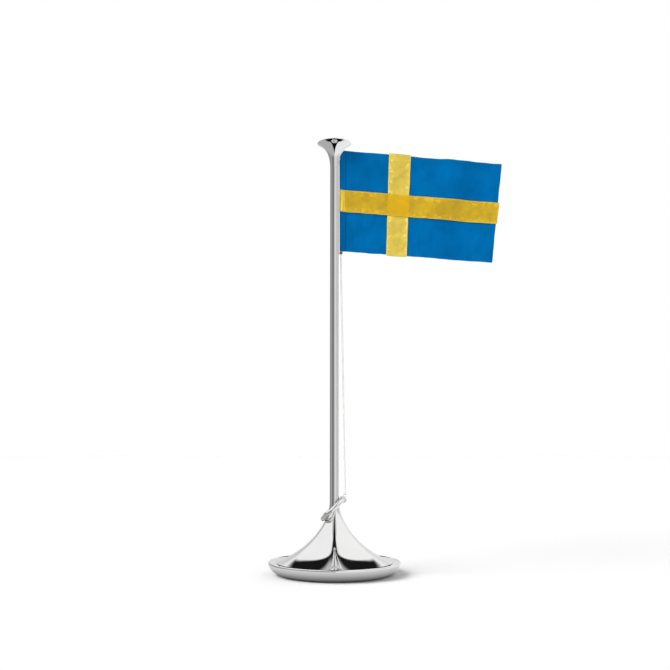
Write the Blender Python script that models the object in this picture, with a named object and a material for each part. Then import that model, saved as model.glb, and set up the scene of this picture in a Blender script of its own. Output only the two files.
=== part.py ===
"""Desk flag stand: a turned saucer foot, a trumpet cone, a slim pole with a flared finial, a cloth flag on a line
that runs down beside the pole, and a round-wire ring that weighs the line down.

Units are metres. The origin is the centre of the foot pad's underside, +Z is up the pole, and the flag flies
towards +X.
"""

import math

import bmesh
import bpy
from mathutils import Vector

# ---- driving dimensions -------------------------------------------------------------------------------------

GAP = 0.0003                  # between pieces that touch, and between cut cloth edges
HEIGHT = 0.390                # to the finial's flat top
BASE_R = 0.058                # outside of the saucer's rim

PAD_INSET = 0.015             # from the rim in to the pad
PAD_T = 0.0016
DISH_UNDERSIDE = 0.0003       # the pad stands this far out of the dish
DISH_FLOOR_T = 0.0015
DISH_FOOT_MARGIN = 0.0012     # flat ring of metal round the pad's recess
RIM_TOP = 0.0114
RIM_ROUND = 0.0009
DISH_SIDE_Z = 0.0066          # how low the side still runs straight down
DISH_TURN = 0.0050            # how far in from the side the underside starts to rise
LIP_W = 0.0069                # from the rim's outside in to the cone's seam
LIP_INNER_Z = 0.0093
LIP_SEAM_PULL = (0.0020, 0.0001)    # out and up from the seam
LIP_RIM_PULL = (0.0043, 0.0009)     # out from the seam, and down from the rim's top
LIP_MEETS_RIM = (0.0007, 0.0002)    # in from the rim's middle, and down from its top
HUB_R = 0.0125                # raised middle of the dish, over the nut
HUB_CEILING = 0.0080
LEDGE_W = 0.0026
LEDGE_DROP = 0.0013           # the ledge under the cone's skirt, below the lip's inner edge

BALLAST_T = 0.0055
BALLAST_SIDE_CLEARANCE = 0.0015

CONE_TOP = 0.0630
CONE_SKIRT_RISE = 0.0004      # the skirt's edge stands this far over the lip's inner edge
CONE_WALL = 0.0015
CONE_CAVITY_TOP = 0.0440
CONE_NECK_PULL = 0.0200       # how far the outline runs straight down from the neck
CONE_SKIRT_PULL = (0.0270, 0.0094)

ROD_R = 0.0020
ROD_IN_POLE = 0.0170
NUT_ACROSS_FLATS = 0.0070
NUT_T = 0.0040
WASHER_R = 0.0060
WASHER_T = 0.0012

POLE_FOOT_R = 0.0042
POLE_TOP_R = 0.0040
POLE_WALL = 0.0006            # at its thinnest, the top
LOWER_INSERT_LENGTH = 0.0180
UPPER_INSERT_LENGTH = 0.0140

FINIAL_LENGTH = 0.0240
FINIAL_RIM_R = 0.0157
FINIAL_RIM_T = 0.0007
FINIAL_NECK_PULL = 0.0111
FINIAL_RIM_PULL = (0.0101, 0.0046)
STUD_R = 0.0016
STUD_IN_FINIAL = 0.0095
STUD_IN_POLE = 0.0100

LINE_R = 0.0008
LINE_STANDOFF = 0.0018        # from the side of the pole's foot out to the line at the flag
KNOT_R = 0.0015
KNOT_H = 0.0018
KNOT_POCKET_CLEARANCE = 0.0009
KNOT_POCKET_DEPTH = 0.0024
TAIL_BOW = 0.0001             # the tail starts straight down before it slants out to the ring
TAIL_BOW_AT = 0.08
TAIL_SHARES = (0.35, 0.65, 0.92)

FLAG_LENGTH = 0.1515
FLAG_HEIGHT = 0.0968
FLAG_BELOW_TOP = 0.0067       # from the finial's top to the flag's upper hoist corner
FLAG_DROOP = math.radians(4.9)
FLY_LEAN = math.radians(6.6)  # the fly's lower corner hangs in towards the pole
CLOTH_T = 0.0006
CLOTH_TAKE_UP = 0.985         # share of the cloth's length that is left when it ripples
FLY_TAKE_UP = 0.022           # share of its height that the fly loses besides
RIPPLE_LENGTH = 0.062
RIPPLE_DEPTH = 0.0024
UPRIGHT_FROM_LINE = 0.0454    # to the upright band's near edge
UPRIGHT_W = 0.0205
LEVEL_FROM_TOP = 0.0385       # to the level band's upper edge
LEVEL_W = 0.0207
BAND_STICKS_OUT = 0.0010
BAND_LAYER = 0.0011            # the level band lies this far in front of the other cloth
CORNER_DROP = 0.0075          # the upper hoist corner is tucked down under the finial's flare
CORNER_RUN = 0.0080
RIPPLE_SLANT = 0.25           # how much the ripples lean over from top to bottom
CLOTH_CELL = 0.0080

SLEEVE_WALL = 0.00035
SLEEVE_BELOW_FLAG_TOP = 0.0121
STOP_WALL = 0.0004
STOP_CLEARANCE = 0.0006       # lets the flag turn without rubbing on the bead
STOP_H = 0.0026

WIRE_R = 0.00215
RING_R = 0.0121               # to the middle of the wire
RING_ABOVE_CONE = 0.0019      # from the cone's top to the middle of the wire at the line
HITCH_THIN = 0.0004           # the loop's thickness where the ring presses it to the pole
HITCH_CLEARANCE = 0.0002
LINE_MEETS_LOOP = math.radians(68.5)    # up from level, on the loop's outer side
STEEPEST_TILT = math.radians(80)
TILT_STEP = math.radians(0.1)

BASE_STEPS = 48
POLE_STEPS = 32
SMALL_STEPS = 20
HEXAGON = 6
RIM_ARC_STEPS = 6
SIDE_OUTLINE_STEPS = 8
CONE_OUTLINE_STEPS = 20
FINIAL_OUTLINE_STEPS = 16
WIRE_SIDES = 14
LOOP_TURNS = 28
LOOP_SIDES = 10
LINE_BEVEL_STEPS = 2
ROUTE_SAMPLES = 40            # between two of a route's own points

# ---- places that follow from them ---------------------------------------------------------------------------

PAD_R = BASE_R - PAD_INSET
SEAM_R = BASE_R - LIP_W
CONE_SKIRT_R = SEAM_R - GAP
CONE_SKIRT_Z = LIP_INNER_Z + CONE_SKIRT_RISE
HUB_TOP = HUB_CEILING + DISH_FLOOR_T
PAD_RECESS_Z = PAD_T + GAP
DISH_FLOOR_Z = PAD_RECESS_Z + DISH_FLOOR_T
LEDGE_Z = LIP_INNER_Z - LEDGE_DROP
ROD_BORE_R = ROD_R + GAP
ROD_BOTTOM = PAD_T + 2 * GAP
ROD_TOP = CONE_TOP + ROD_IN_POLE
WASHER_Z = HUB_CEILING - GAP - WASHER_T
NUT_Z = WASHER_Z - GAP - NUT_T
POLE_BOTTOM = CONE_TOP + GAP
FINIAL_BOTTOM = HEIGHT - FINIAL_LENGTH
POLE_TOP = FINIAL_BOTTOM - GAP
POLE_BORE_R = POLE_TOP_R - POLE_WALL
INSERT_R = POLE_BORE_R - GAP
STUD_BORE_R = STUD_R + GAP
LINE_X = POLE_FOOT_R + LINE_STANDOFF
LINE_HOLE_R = LINE_R + GAP
LINE_STEP = 5 * LINE_R
KNOT_POCKET_R = KNOT_R + KNOT_POCKET_CLEARANCE
SLEEVE_R = LINE_HOLE_R + SLEEVE_WALL
STOP_R = LINE_HOLE_R + STOP_WALL
FLAG_TOP = HEIGHT - FLAG_BELOW_TOP
SLEEVE_TOP = FLAG_TOP - SLEEVE_BELOW_FLAG_TOP
FLAG_BOTTOM = FLAG_TOP - FLAG_HEIGHT * CLOTH_TAKE_UP * math.cos(FLAG_DROOP)
SLEEVE_BOTTOM = FLAG_BOTTOM + GAP
STOP_Z = SLEEVE_BOTTOM - STOP_CLEARANCE - STOP_H
LINE_SPLIT = STOP_Z - GAP
PIVOT_X = POLE_FOOT_R + 2 * HITCH_CLEARANCE + HITCH_THIN + WIRE_R
RING_PIVOT = Vector((PIVOT_X, 0, CONE_TOP + RING_ABOVE_CONE))
FLAG_PIVOT = Vector((LINE_X, 0, FLAG_TOP))
HITCH_INNER_R = WIRE_R + HITCH_CLEARANCE


# ---- scene and materials ------------------------------------------------------------------------------------


def clear_scene():
    for obj in list(bpy.data.objects):
        bpy.data.objects.remove(obj, do_unlink=True)


def make_material(name, colour, roughness, metallic=0.0):
    material = bpy.data.materials.new(name)
    material.use_nodes = True
    shader = material.node_tree.nodes["Principled BSDF"]
    shader.inputs["Base Color"].default_value = (*colour, 1)
    shader.inputs["Roughness"].default_value = roughness
    shader.inputs["Metallic"].default_value = metallic
    material.diffuse_color = (*colour, 1)
    return material


def add_object(name, data, material, location=(0, 0, 0), parent=None):
    """The data as an object at a place in the world, under an empty if one is given."""
    obj = bpy.data.objects.new(name, data)
    data.materials.append(material)
    bpy.context.scene.collection.objects.link(obj)
    obj.location = Vector(location)
    if parent:
        obj.parent = parent
        obj.location -= parent.location
    return obj


def add_pivot(name, place):
    pivot = bpy.data.objects.new(name, None)
    bpy.context.scene.collection.objects.link(pivot)
    pivot.location = place
    pivot.empty_display_size = 0.01
    return pivot


# ---- outlines -----------------------------------------------------------------------------------------------


def bezier(p0, p1, p2, p3, steps):
    """Points on a cubic curve, both ends included."""
    points = []
    for i in range(steps + 1):
        t = i / steps
        s = 1 - t
        weights = (s**3, 3 * s * s * t, 3 * s * t * t, t**3)
        points.append(
            tuple(sum(w * p[axis] for w, p in zip(weights, (p0, p1, p2, p3))) for axis in (0, 1))
        )
    return points


def arc(centre, radius, start_deg, end_deg, steps):
    points = []
    for i in range(steps + 1):
        angle = math.radians(start_deg + (end_deg - start_deg) * i / steps)
        points.append((centre[0] + radius * math.cos(angle), centre[1] + radius * math.sin(angle)))
    return points


def shifted_inward(points, distance):
    """An outline that runs outwards and down, moved at right angles to itself, to its inner side."""
    moved = []
    for i, (r, z) in enumerate(points):
        before = points[max(i - 1, 0)]
        after = points[min(i + 1, len(points) - 1)]
        along = Vector((after[0] - before[0], after[1] - before[1])).normalized()
        moved.append((r + distance * along.y, z - distance * along.x))
    return moved


def ring_outline(inner_r, outer_r, bottom, top):
    return [(inner_r, top), (outer_r, top), (outer_r, bottom), (inner_r, bottom)]


def turned(name, outline, material, steps, closed=True, **place):
    """A solid of revolution about Z. The outline is (radius, height), running down its outer side."""
    mesh = bpy.data.meshes.new(name)
    points = [(r, 0, z) for r, z in outline]
    edges = [(i, i + 1) for i in range(len(points) - 1)]
    if closed:
        edges.append((len(points) - 1, 0))
    mesh.from_pydata(points, edges, [])
    obj = add_object(name, mesh, material, **place)
    screw = obj.modifiers.new("Turn", "SCREW")
    screw.steps = steps
    screw.render_steps = steps
    screw.use_smooth_shade = True
    screw.use_merge_vertices = True
    screw.merge_threshold = 0.00001
    return obj


def cut(obj, cutter):
    cutter.hide_render = True
    cutter.display_type = "WIRE"
    boolean = obj.modifiers.new("Cut", "BOOLEAN")
    boolean.operation = "DIFFERENCE"
    boolean.solver = "EXACT"
    boolean.object = cutter


# ---- foot ---------------------------------------------------------------------------------------------------


def foot_pad(material):
    outline = [(0, PAD_T), (PAD_R, PAD_T), (PAD_R, 0), (0, 0)]
    turned("foot_pad", outline, material, BASE_STEPS, closed=False)


def base_dish(material):
    rim_centre = (BASE_R - RIM_ROUND, RIM_TOP - RIM_ROUND)
    foot_r = PAD_R + GAP + DISH_FOOT_MARGIN
    recess_r = PAD_R + GAP
    outline = arc(rim_centre, RIM_ROUND, 110, 0, RIM_ARC_STEPS)
    outline += bezier(
        (BASE_R, rim_centre[1]),
        (BASE_R, DISH_SIDE_Z),
        (BASE_R - DISH_TURN, DISH_UNDERSIDE),
        (foot_r, DISH_UNDERSIDE),
        SIDE_OUTLINE_STEPS,
    )[1:]
    outline += [(recess_r, DISH_UNDERSIDE), (recess_r, PAD_RECESS_Z), (HUB_R, PAD_RECESS_Z)]
    outline += [(HUB_R, HUB_CEILING), (ROD_BORE_R, HUB_CEILING), (ROD_BORE_R, HUB_TOP)]
    outline += [(HUB_R + DISH_FLOOR_T, HUB_TOP), (HUB_R + DISH_FLOOR_T, DISH_FLOOR_Z)]
    outline += [(recess_r + LEDGE_W, DISH_FLOOR_Z), (SEAM_R - LEDGE_W, LEDGE_Z), (SEAM_R, LEDGE_Z)]
    outline += bezier(
        (SEAM_R, LIP_INNER_Z),
        (SEAM_R + LIP_SEAM_PULL[0], LIP_INNER_Z + LIP_SEAM_PULL[1]),
        (SEAM_R + LIP_RIM_PULL[0], RIM_TOP - LIP_RIM_PULL[1]),
        (rim_centre[0] - LIP_MEETS_RIM[0], RIM_TOP - LIP_MEETS_RIM[1]),
        RIM_ARC_STEPS,
    )[:-1]
    turned("base_dish", outline, material, BASE_STEPS)


def ballast_ring(material):
    inner_r = HUB_R + DISH_FLOOR_T + GAP
    outer_r = PAD_R + GAP + LEDGE_W - BALLAST_SIDE_CLEARANCE
    bottom = DISH_FLOOR_Z + GAP
    turned("ballast_ring", ring_outline(inner_r, outer_r, bottom, bottom + BALLAST_T), material, BASE_STEPS)


def cone_outside():
    return bezier(
        (POLE_FOOT_R, CONE_TOP),
        (POLE_FOOT_R, CONE_TOP - CONE_NECK_PULL),
        (CONE_SKIRT_R - CONE_SKIRT_PULL[0], CONE_SKIRT_Z + CONE_SKIRT_PULL[1]),
        (CONE_SKIRT_R, CONE_SKIRT_Z),
        CONE_OUTLINE_STEPS,
    )


def base_cone(material):
    outside = cone_outside()
    inside = [p for p in shifted_inward(outside, CONE_WALL) if p[1] < CONE_CAVITY_TOP]
    inside.reverse()
    outline = [(ROD_BORE_R, CONE_TOP)] + outside + inside
    outline += [(inside[-1][0], CONE_CAVITY_TOP), (ROD_BORE_R, CONE_CAVITY_TOP)]
    turned("base_cone", outline, material, BASE_STEPS)


def tie_rod(material):
    outline = [(0, ROD_TOP), (ROD_R, ROD_TOP), (ROD_R, ROD_BOTTOM), (0, ROD_BOTTOM)]
    turned("tie_rod", outline, material, SMALL_STEPS, closed=False)


def tie_washer(material):
    outline = ring_outline(ROD_BORE_R, WASHER_R, WASHER_Z, WASHER_Z + WASHER_T)
    turned("tie_washer", outline, material, SMALL_STEPS)


def tie_nut(material):
    """A hexagon is turned in six steps, and its bore is drilled round."""
    corner_r = NUT_ACROSS_FLATS / 2 / math.cos(math.pi / HEXAGON)
    blank = [(0, NUT_Z + NUT_T), (corner_r, NUT_Z + NUT_T), (corner_r, NUT_Z), (0, NUT_Z)]
    nut = turned("tie_nut", blank, material, HEXAGON, closed=False)
    drill = [(0, NUT_Z + 2 * NUT_T), (ROD_BORE_R, NUT_Z + 2 * NUT_T), (ROD_BORE_R, NUT_Z - NUT_T)]
    drill.append((0, NUT_Z - NUT_T))
    cut(nut, turned("nut_drill", drill, material, SMALL_STEPS, closed=False))


# ---- pole ---------------------------------------------------------------------------------------------------


def pole_tube(material):
    outline = [(POLE_BORE_R, POLE_TOP), (POLE_TOP_R, POLE_TOP)]
    outline += [(POLE_FOOT_R, POLE_BOTTOM), (POLE_BORE_R, POLE_BOTTOM)]
    turned("pole_tube", outline, material, POLE_STEPS)


def lower_insert(material):
    bottom = POLE_BOTTOM + GAP
    outline = ring_outline(ROD_BORE_R, INSERT_R, bottom, bottom + LOWER_INSERT_LENGTH)
    turned("lower_insert", outline, material, SMALL_STEPS)


def upper_insert(material):
    top = POLE_TOP - GAP
    outline = ring_outline(STUD_BORE_R, INSERT_R, top - UPPER_INSERT_LENGTH, top)
    turned("upper_insert", outline, material, SMALL_STEPS)


def finial_stud(material):
    top = FINIAL_BOTTOM + STUD_IN_FINIAL
    bottom = FINIAL_BOTTOM - STUD_IN_POLE
    outline = [(0, top), (STUD_R, top), (STUD_R, bottom), (0, bottom)]
    turned("finial_stud", outline, material, SMALL_STEPS, closed=False)


def finial(material):
    rim_z = HEIGHT - FINIAL_RIM_T
    outline = [(0, HEIGHT), (FINIAL_RIM_R, HEIGHT)]
    outline += bezier(
        (FINIAL_RIM_R, rim_z),
        (FINIAL_RIM_R - FINIAL_RIM_PULL[0], rim_z - FINIAL_RIM_PULL[1]),
        (POLE_TOP_R, FINIAL_BOTTOM + FINIAL_NECK_PULL),
        (POLE_TOP_R, FINIAL_BOTTOM),
        FINIAL_OUTLINE_STEPS,
    )
    bore_top = FINIAL_BOTTOM + STUD_IN_FINIAL + GAP
    outline += [(STUD_BORE_R, FINIAL_BOTTOM), (STUD_BORE_R, bore_top), (0, bore_top)]
    body = turned("finial", outline, material, POLE_STEPS, closed=False)
    pocket_floor = HEIGHT - KNOT_POCKET_DEPTH
    above = HEIGHT + KNOT_POCKET_DEPTH
    drill = [(0, above), (KNOT_POCKET_R, above), (KNOT_POCKET_R, pocket_floor), (LINE_HOLE_R, pocket_floor)]
    drill += [(LINE_HOLE_R, FINIAL_BOTTOM), (0, FINIAL_BOTTOM)]
    cut(body, turned("line_drill", drill, material, SMALL_STEPS, closed=False, location=(LINE_X, 0, 0)))


# ---- line ---------------------------------------------------------------------------------------------------


def smooth_route(points, spacing):
    """Points at an even spacing on a smooth curve through the route's own points."""
    knots = [Vector(p) for p in points]
    ends = [2 * knots[0] - knots[1]] + knots + [2 * knots[-1] - knots[-2]]
    fine = []
    for before, start, end, after in zip(ends, ends[1:], ends[2:], ends[3:]):
        for i in range(ROUTE_SAMPLES):
            t = i / ROUTE_SAMPLES
            fine.append(
                0.5
                * (
                    2 * start
                    + (end - before) * t
                    + (2 * before - 5 * start + 4 * end - after) * t * t
                    + (3 * start - before - 3 * end + after) * t**3
                )
            )
    fine.append(knots[-1])
    total = sum((b - a).length for a, b in zip(fine, fine[1:]))
    count = max(2, round(total / spacing))
    even = [fine[0]]
    walked = 0.0
    for a, b in zip(fine, fine[1:]):
        walked += (b - a).length
        if walked >= total * len(even) / count - 1e-9 and len(even) < count:
            even.append(b)
    return even + [fine[-1]]


def line_tube(name, route, material, parent=None):
    origin = parent.location if parent else Vector((0, 0, 0))
    points = smooth_route(route, LINE_STEP)
    curve = bpy.data.curves.new(name, "CURVE")
    curve.dimensions = "3D"
    curve.bevel_depth = LINE_R
    curve.bevel_resolution = LINE_BEVEL_STEPS
    curve.use_fill_caps = True
    spline = curve.splines.new("POLY")
    spline.points.add(len(points) - 1)
    for point, place in zip(spline.points, points):
        point.co = (*(place - origin), 1)
    add_object(name, curve, material, origin, parent)


def halyard(material):
    top = HEIGHT - KNOT_POCKET_DEPTH
    line_tube("halyard", [(LINE_X, 0, top), (LINE_X, 0, SLEEVE_TOP), (LINE_X, 0, LINE_SPLIT)], material)


def halyard_tail(material, pivot):
    """From the flag's lower hoist corner to the loop on the ring, drawn straight by the ring's weight."""
    start = Vector((LINE_X, 0, LINE_SPLIT - GAP))
    end = hitch_top()
    route = [start, start.lerp(end, TAIL_BOW_AT) - Vector((TAIL_BOW, 0, 0))]
    route += [start.lerp(end, share) for share in TAIL_SHARES] + [end]
    line_tube("halyard_tail", route, material, pivot)


def top_knot(material):
    mesh = bpy.data.meshes.new("top_knot")
    ball = bmesh.new()
    bmesh.ops.create_icosphere(ball, subdivisions=2, radius=KNOT_R)
    bmesh.ops.scale(ball, vec=(1, 1, KNOT_H / 2 / KNOT_R), verts=ball.verts)
    ball.to_mesh(mesh)
    ball.free()
    mesh.shade_smooth()
    centre_z = HEIGHT - KNOT_POCKET_DEPTH + GAP + KNOT_H / 2
    add_object("top_knot", mesh, material, (LINE_X, 0, centre_z))


def lower_stop(material, pivot):
    outline = ring_outline(LINE_HOLE_R, STOP_R, STOP_Z, STOP_Z + STOP_H)
    local = [(r, z - FLAG_PIVOT.z) for r, z in outline]
    turned("lower_stop", local, material, SMALL_STEPS, location=FLAG_PIVOT, parent=pivot)


def hitch_half_thickness(angle):
    """Half the loop's thickness: squeezed thin against the pole, and a full line's on the outside."""
    share = (1 + math.cos(angle)) / 2
    return HITCH_THIN / 2 + (LINE_R - HITCH_THIN / 2) * share


def hitch_top():
    """Where the line meets the loop: its inner side is a gap away from the loop's upper outer side."""
    reach = HITCH_INNER_R + 2 * hitch_half_thickness(LINE_MEETS_LOOP) + GAP
    place = Vector((math.cos(LINE_MEETS_LOOP), 0, math.sin(LINE_MEETS_LOOP))) * reach
    return RING_PIVOT + place + Vector((LINE_R, 0, 0))


def ring_hitch(material, pivot):
    """A closed loop of line round the ring's wire, in the plane of the pole and the line."""
    mesh = bpy.data.meshes.new("ring_hitch")
    loop = bmesh.new()
    sections = []
    for i in range(LOOP_TURNS):
        angle = math.tau * i / LOOP_TURNS
        half = hitch_half_thickness(angle)
        middle = HITCH_INNER_R + half
        section = []
        for j in range(LOOP_SIDES):
            around = math.tau * j / LOOP_SIDES
            reach = middle + half * math.cos(around)
            place = (reach * math.cos(angle), LINE_R * math.sin(around), reach * math.sin(angle))
            section.append(loop.verts.new(place))
        sections.append(section)
    for i, section in enumerate(sections):
        following = sections[(i + 1) % LOOP_TURNS]
        for j in range(LOOP_SIDES):
            k = (j + 1) % LOOP_SIDES
            loop.faces.new((section[j], section[k], following[k], following[j]))
    bmesh.ops.recalc_face_normals(loop, faces=loop.faces)
    loop.to_mesh(mesh)
    loop.free()
    mesh.shade_smooth()
    add_object("ring_hitch", mesh, material, RING_PIVOT, pivot)


def resting_tilt():
    """The slope at which the ring, held up at the line, comes to rest a gap away from the cone."""
    outline = [Vector((-r, z)) for r, z in cone_outside()]
    tilt = 0.0
    while tilt < STEEPEST_TILT:
        reach = 2 * RING_R
        far = Vector((PIVOT_X - reach * math.cos(tilt), RING_PIVOT.z - reach * math.sin(tilt)))
        spans = zip(outline, outline[1:])
        if min(distance_to_span(far, a, b) for a, b in spans) < WIRE_R + GAP:
            break
        tilt += TILT_STEP
    return tilt


def distance_to_span(point, start, end):
    along = end - start
    share = max(0, min(1, (point - start).dot(along) / along.length_squared))
    return (start + share * along - point).length


def weight_ring(material, pivot):
    section = arc((RING_R, 0), WIRE_R, 90, -270, WIRE_SIDES)[:-1]
    tilt = resting_tilt()
    reach = Vector((RING_R * math.cos(tilt), 0, RING_R * math.sin(tilt)))
    ring = turned("weight_ring", section, material, BASE_STEPS, location=RING_PIVOT - reach, parent=pivot)
    ring.rotation_euler = (0, -tilt, 0)


# ---- flag ---------------------------------------------------------------------------------------------------


def cloth_point(along, down, layer):
    """A point of the hanging cloth: along from the line, down from the top edge, layer towards the back."""
    share = along / FLAG_LENGTH
    x = LINE_X + (along * math.cos(FLAG_DROOP) - down * math.sin(FLY_LEAN) * share) * CLOTH_TAKE_UP
    fall = down * math.cos(FLAG_DROOP) * CLOTH_TAKE_UP * (1 - FLY_TAKE_UP * share)
    z = FLAG_TOP - along * math.sin(FLAG_DROOP) - fall
    depth = RIPPLE_DEPTH * min(1, share * 2)
    y = depth * math.sin(math.tau * (along + RIPPLE_SLANT * down) / RIPPLE_LENGTH)
    return Vector((x, y + layer, z))


def corner_tuck(along):
    return CORNER_DROP * max(0, 1 - along / CORNER_RUN)


def cloth_piece(name, along_range, down_range, layer, material, pivot):
    """One cut piece of the flag: a closed sheet of cloth thickness that follows the ripples."""
    columns = max(2, round((along_range[1] - along_range[0]) / CLOTH_CELL))
    rows = max(2, round((down_range[1] - down_range[0]) / CLOTH_CELL))
    mesh = bpy.data.meshes.new(name)
    sheet = bmesh.new()
    sides = []
    for side in (-CLOTH_T / 2, CLOTH_T / 2):
        grid = []
        for i in range(columns + 1):
            along = along_range[0] + (along_range[1] - along_range[0]) * i / columns
            top = max(down_range[0], corner_tuck(along))
            column = []
            for j in range(rows + 1):
                down = top + (down_range[1] - top) * j / rows
                column.append(sheet.verts.new(cloth_point(along, down, layer + side) - FLAG_PIVOT))
            grid.append(column)
        sides.append(grid)
    front, back = sides
    for i in range(columns):
        for j in range(rows):
            for grid in sides:
                sheet.faces.new((grid[i][j], grid[i + 1][j], grid[i + 1][j + 1], grid[i][j + 1]))
    for i in range(columns):
        for j in (0, rows):
            sheet.faces.new((front[i][j], front[i + 1][j], back[i + 1][j], back[i][j]))
    for j in range(rows):
        for i in (0, columns):
            sheet.faces.new((front[i][j], front[i][j + 1], back[i][j + 1], back[i][j]))
    bmesh.ops.recalc_face_normals(sheet, faces=sheet.faces)
    sheet.to_mesh(mesh)
    sheet.free()
    add_object(name, mesh, material, FLAG_PIVOT, pivot)


def flag(blue, yellow, pivot):
    hoist_edge = SLEEVE_R + GAP
    band_right = UPRIGHT_FROM_LINE + UPRIGHT_W
    bar_bottom = LEVEL_FROM_TOP + LEVEL_W
    columns = {
        "hoist": (hoist_edge, UPRIGHT_FROM_LINE - GAP),
        "fly": (band_right + GAP, FLAG_LENGTH),
    }
    rows = {
        "upper": (0, LEVEL_FROM_TOP - GAP),
        "lower": (bar_bottom + GAP, FLAG_HEIGHT),
    }
    for row, down_range in rows.items():
        for column, along_range in columns.items():
            cloth_piece(f"panel_{row}_{column}", along_range, down_range, 0, blue, pivot)
    upright = (-BAND_STICKS_OUT, FLAG_HEIGHT + BAND_STICKS_OUT)
    cloth_piece("upright_band", (UPRIGHT_FROM_LINE, band_right), upright, 0, yellow, pivot)
    level = (hoist_edge, FLAG_LENGTH + BAND_STICKS_OUT)
    cloth_piece("cross_band", level, (LEVEL_FROM_TOP, bar_bottom), -BAND_LAYER, yellow, pivot)


def hoist_sleeve(material, pivot):
    outline = ring_outline(LINE_HOLE_R, SLEEVE_R, SLEEVE_BOTTOM, SLEEVE_TOP)
    local = [(r, z - FLAG_PIVOT.z) for r, z in outline]
    turned("hoist_sleeve", local, material, SMALL_STEPS, location=FLAG_PIVOT, parent=pivot)


# ---- the whole stand ----------------------------------------------------------------------------------------


def main():
    clear_scene()
    polished = make_material("polished_steel", (0.80, 0.80, 0.80), 0.05, 1.0)
    zinc = make_material("zinc_plate", (0.60, 0.61, 0.60), 0.35, 1.0)
    iron = make_material("cast_iron", (0.09, 0.09, 0.09), 0.70, 1.0)
    pad = make_material("pad_rubber", (0.03, 0.03, 0.03), 0.85)
    line = make_material("white_line", (0.85, 0.85, 0.83), 0.80)
    blue = make_material("blue_cloth", (0.005, 0.16, 0.45), 0.75)
    yellow = make_material("yellow_ribbon", (0.72, 0.48, 0.04), 0.60)
    brown = make_material("brown_bead", (0.22, 0.07, 0.03), 0.50)

    foot_pad(pad)
    base_dish(polished)
    ballast_ring(iron)
    base_cone(polished)
    tie_rod(zinc)
    tie_nut(zinc)
    tie_washer(zinc)
    pole_tube(polished)
    lower_insert(zinc)
    upper_insert(zinc)
    finial_stud(zinc)
    finial(polished)
    top_knot(line)
    halyard(line)

    flag_pivot = add_pivot("flag_pivot", FLAG_PIVOT)
    flag(blue, yellow, flag_pivot)
    hoist_sleeve(blue, flag_pivot)
    lower_stop(brown, flag_pivot)

    ring_pivot = add_pivot("ring_pivot", RING_PIVOT)
    halyard_tail(line, ring_pivot)
    ring_hitch(line, ring_pivot)
    weight_ring(polished, ring_pivot)


main()
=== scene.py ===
"""Desk flag stand: a mirror-polished saucer foot, trumpet cone, slim pole and flared finial, with a cloth
flag on a white line that a round-wire ring weighs down. Units are metres, +Z is up the pole and the flag
flies towards +X."""

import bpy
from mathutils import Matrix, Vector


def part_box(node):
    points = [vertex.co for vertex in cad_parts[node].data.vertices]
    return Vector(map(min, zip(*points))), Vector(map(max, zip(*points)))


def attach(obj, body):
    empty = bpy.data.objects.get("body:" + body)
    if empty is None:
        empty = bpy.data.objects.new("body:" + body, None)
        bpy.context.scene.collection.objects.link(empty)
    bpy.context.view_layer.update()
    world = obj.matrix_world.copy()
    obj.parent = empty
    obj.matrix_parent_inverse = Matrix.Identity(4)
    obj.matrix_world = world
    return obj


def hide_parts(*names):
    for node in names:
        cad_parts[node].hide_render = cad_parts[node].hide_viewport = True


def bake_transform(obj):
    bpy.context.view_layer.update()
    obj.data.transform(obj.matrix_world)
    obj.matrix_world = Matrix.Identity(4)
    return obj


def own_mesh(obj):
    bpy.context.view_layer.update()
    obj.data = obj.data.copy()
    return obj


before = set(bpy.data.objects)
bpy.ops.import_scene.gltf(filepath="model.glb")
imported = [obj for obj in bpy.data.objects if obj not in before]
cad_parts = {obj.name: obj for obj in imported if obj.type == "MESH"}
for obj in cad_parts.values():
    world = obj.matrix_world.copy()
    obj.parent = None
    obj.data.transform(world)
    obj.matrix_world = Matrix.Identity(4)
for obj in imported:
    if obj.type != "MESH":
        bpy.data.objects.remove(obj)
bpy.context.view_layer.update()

import math

import bpy
from bpy.props import FloatProperty, FloatVectorProperty, PointerProperty
from mathutils import Vector, noise

bl_info = {
    "name": "Desk Flag Stand",
    "version": (1, 0, 0),
    "blender": (4, 5, 0),
    "location": "View3D > Sidebar > Flag Stand",
    "description": "Builds a polished desk flag stand with its cloth flag, line and weight ring",
    "category": "Object",
}

# ---- sizes that come from the frame --------------------------------------------------------------------

DISH_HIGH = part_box("base_dish")[1]
CONE_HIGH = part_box("base_cone")[1]
POLE_LOW, POLE_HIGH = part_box("pole_tube")
FINIAL_LOW, FINIAL_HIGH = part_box("finial")
LINE_LOW, LINE_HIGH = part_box("halyard")
TAIL_LOW, TAIL_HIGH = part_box("halyard_tail")
PAD_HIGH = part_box("foot_pad")[1]
STOP_LOW, STOP_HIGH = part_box("lower_stop")
KNOT_LOW, KNOT_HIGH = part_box("top_knot")
RING_LOW, RING_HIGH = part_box("weight_ring")

LINE_X = (LINE_LOW.x + LINE_HIGH.x) / 2
LINE_R = (LINE_HIGH.x - LINE_LOW.x) / 2

# ---- sizes of the turned pieces ------------------------------------------------------------------------

HAIRLINE = 0.00003            # what shows of the joint between two screwed pieces
EDGE_ROUND = 0.00015          # on the pad
JOINT_ROUND = 0.00003         # on the edges that meet at a screwed joint
JOINT_GAP = 0.0003            # what the frame leaves between them, which is closed up here
TURN_STEPS = 192              # round the pole's axis
SMALL_STEPS = 64              # round the bead and the finial's small bores
STARTER = 0.001               # size of the primitive that an outline is drawn from
MERGE = 0.000001              # points this near each other are one point
SMOOTH_ANGLE = math.radians(32)

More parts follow.
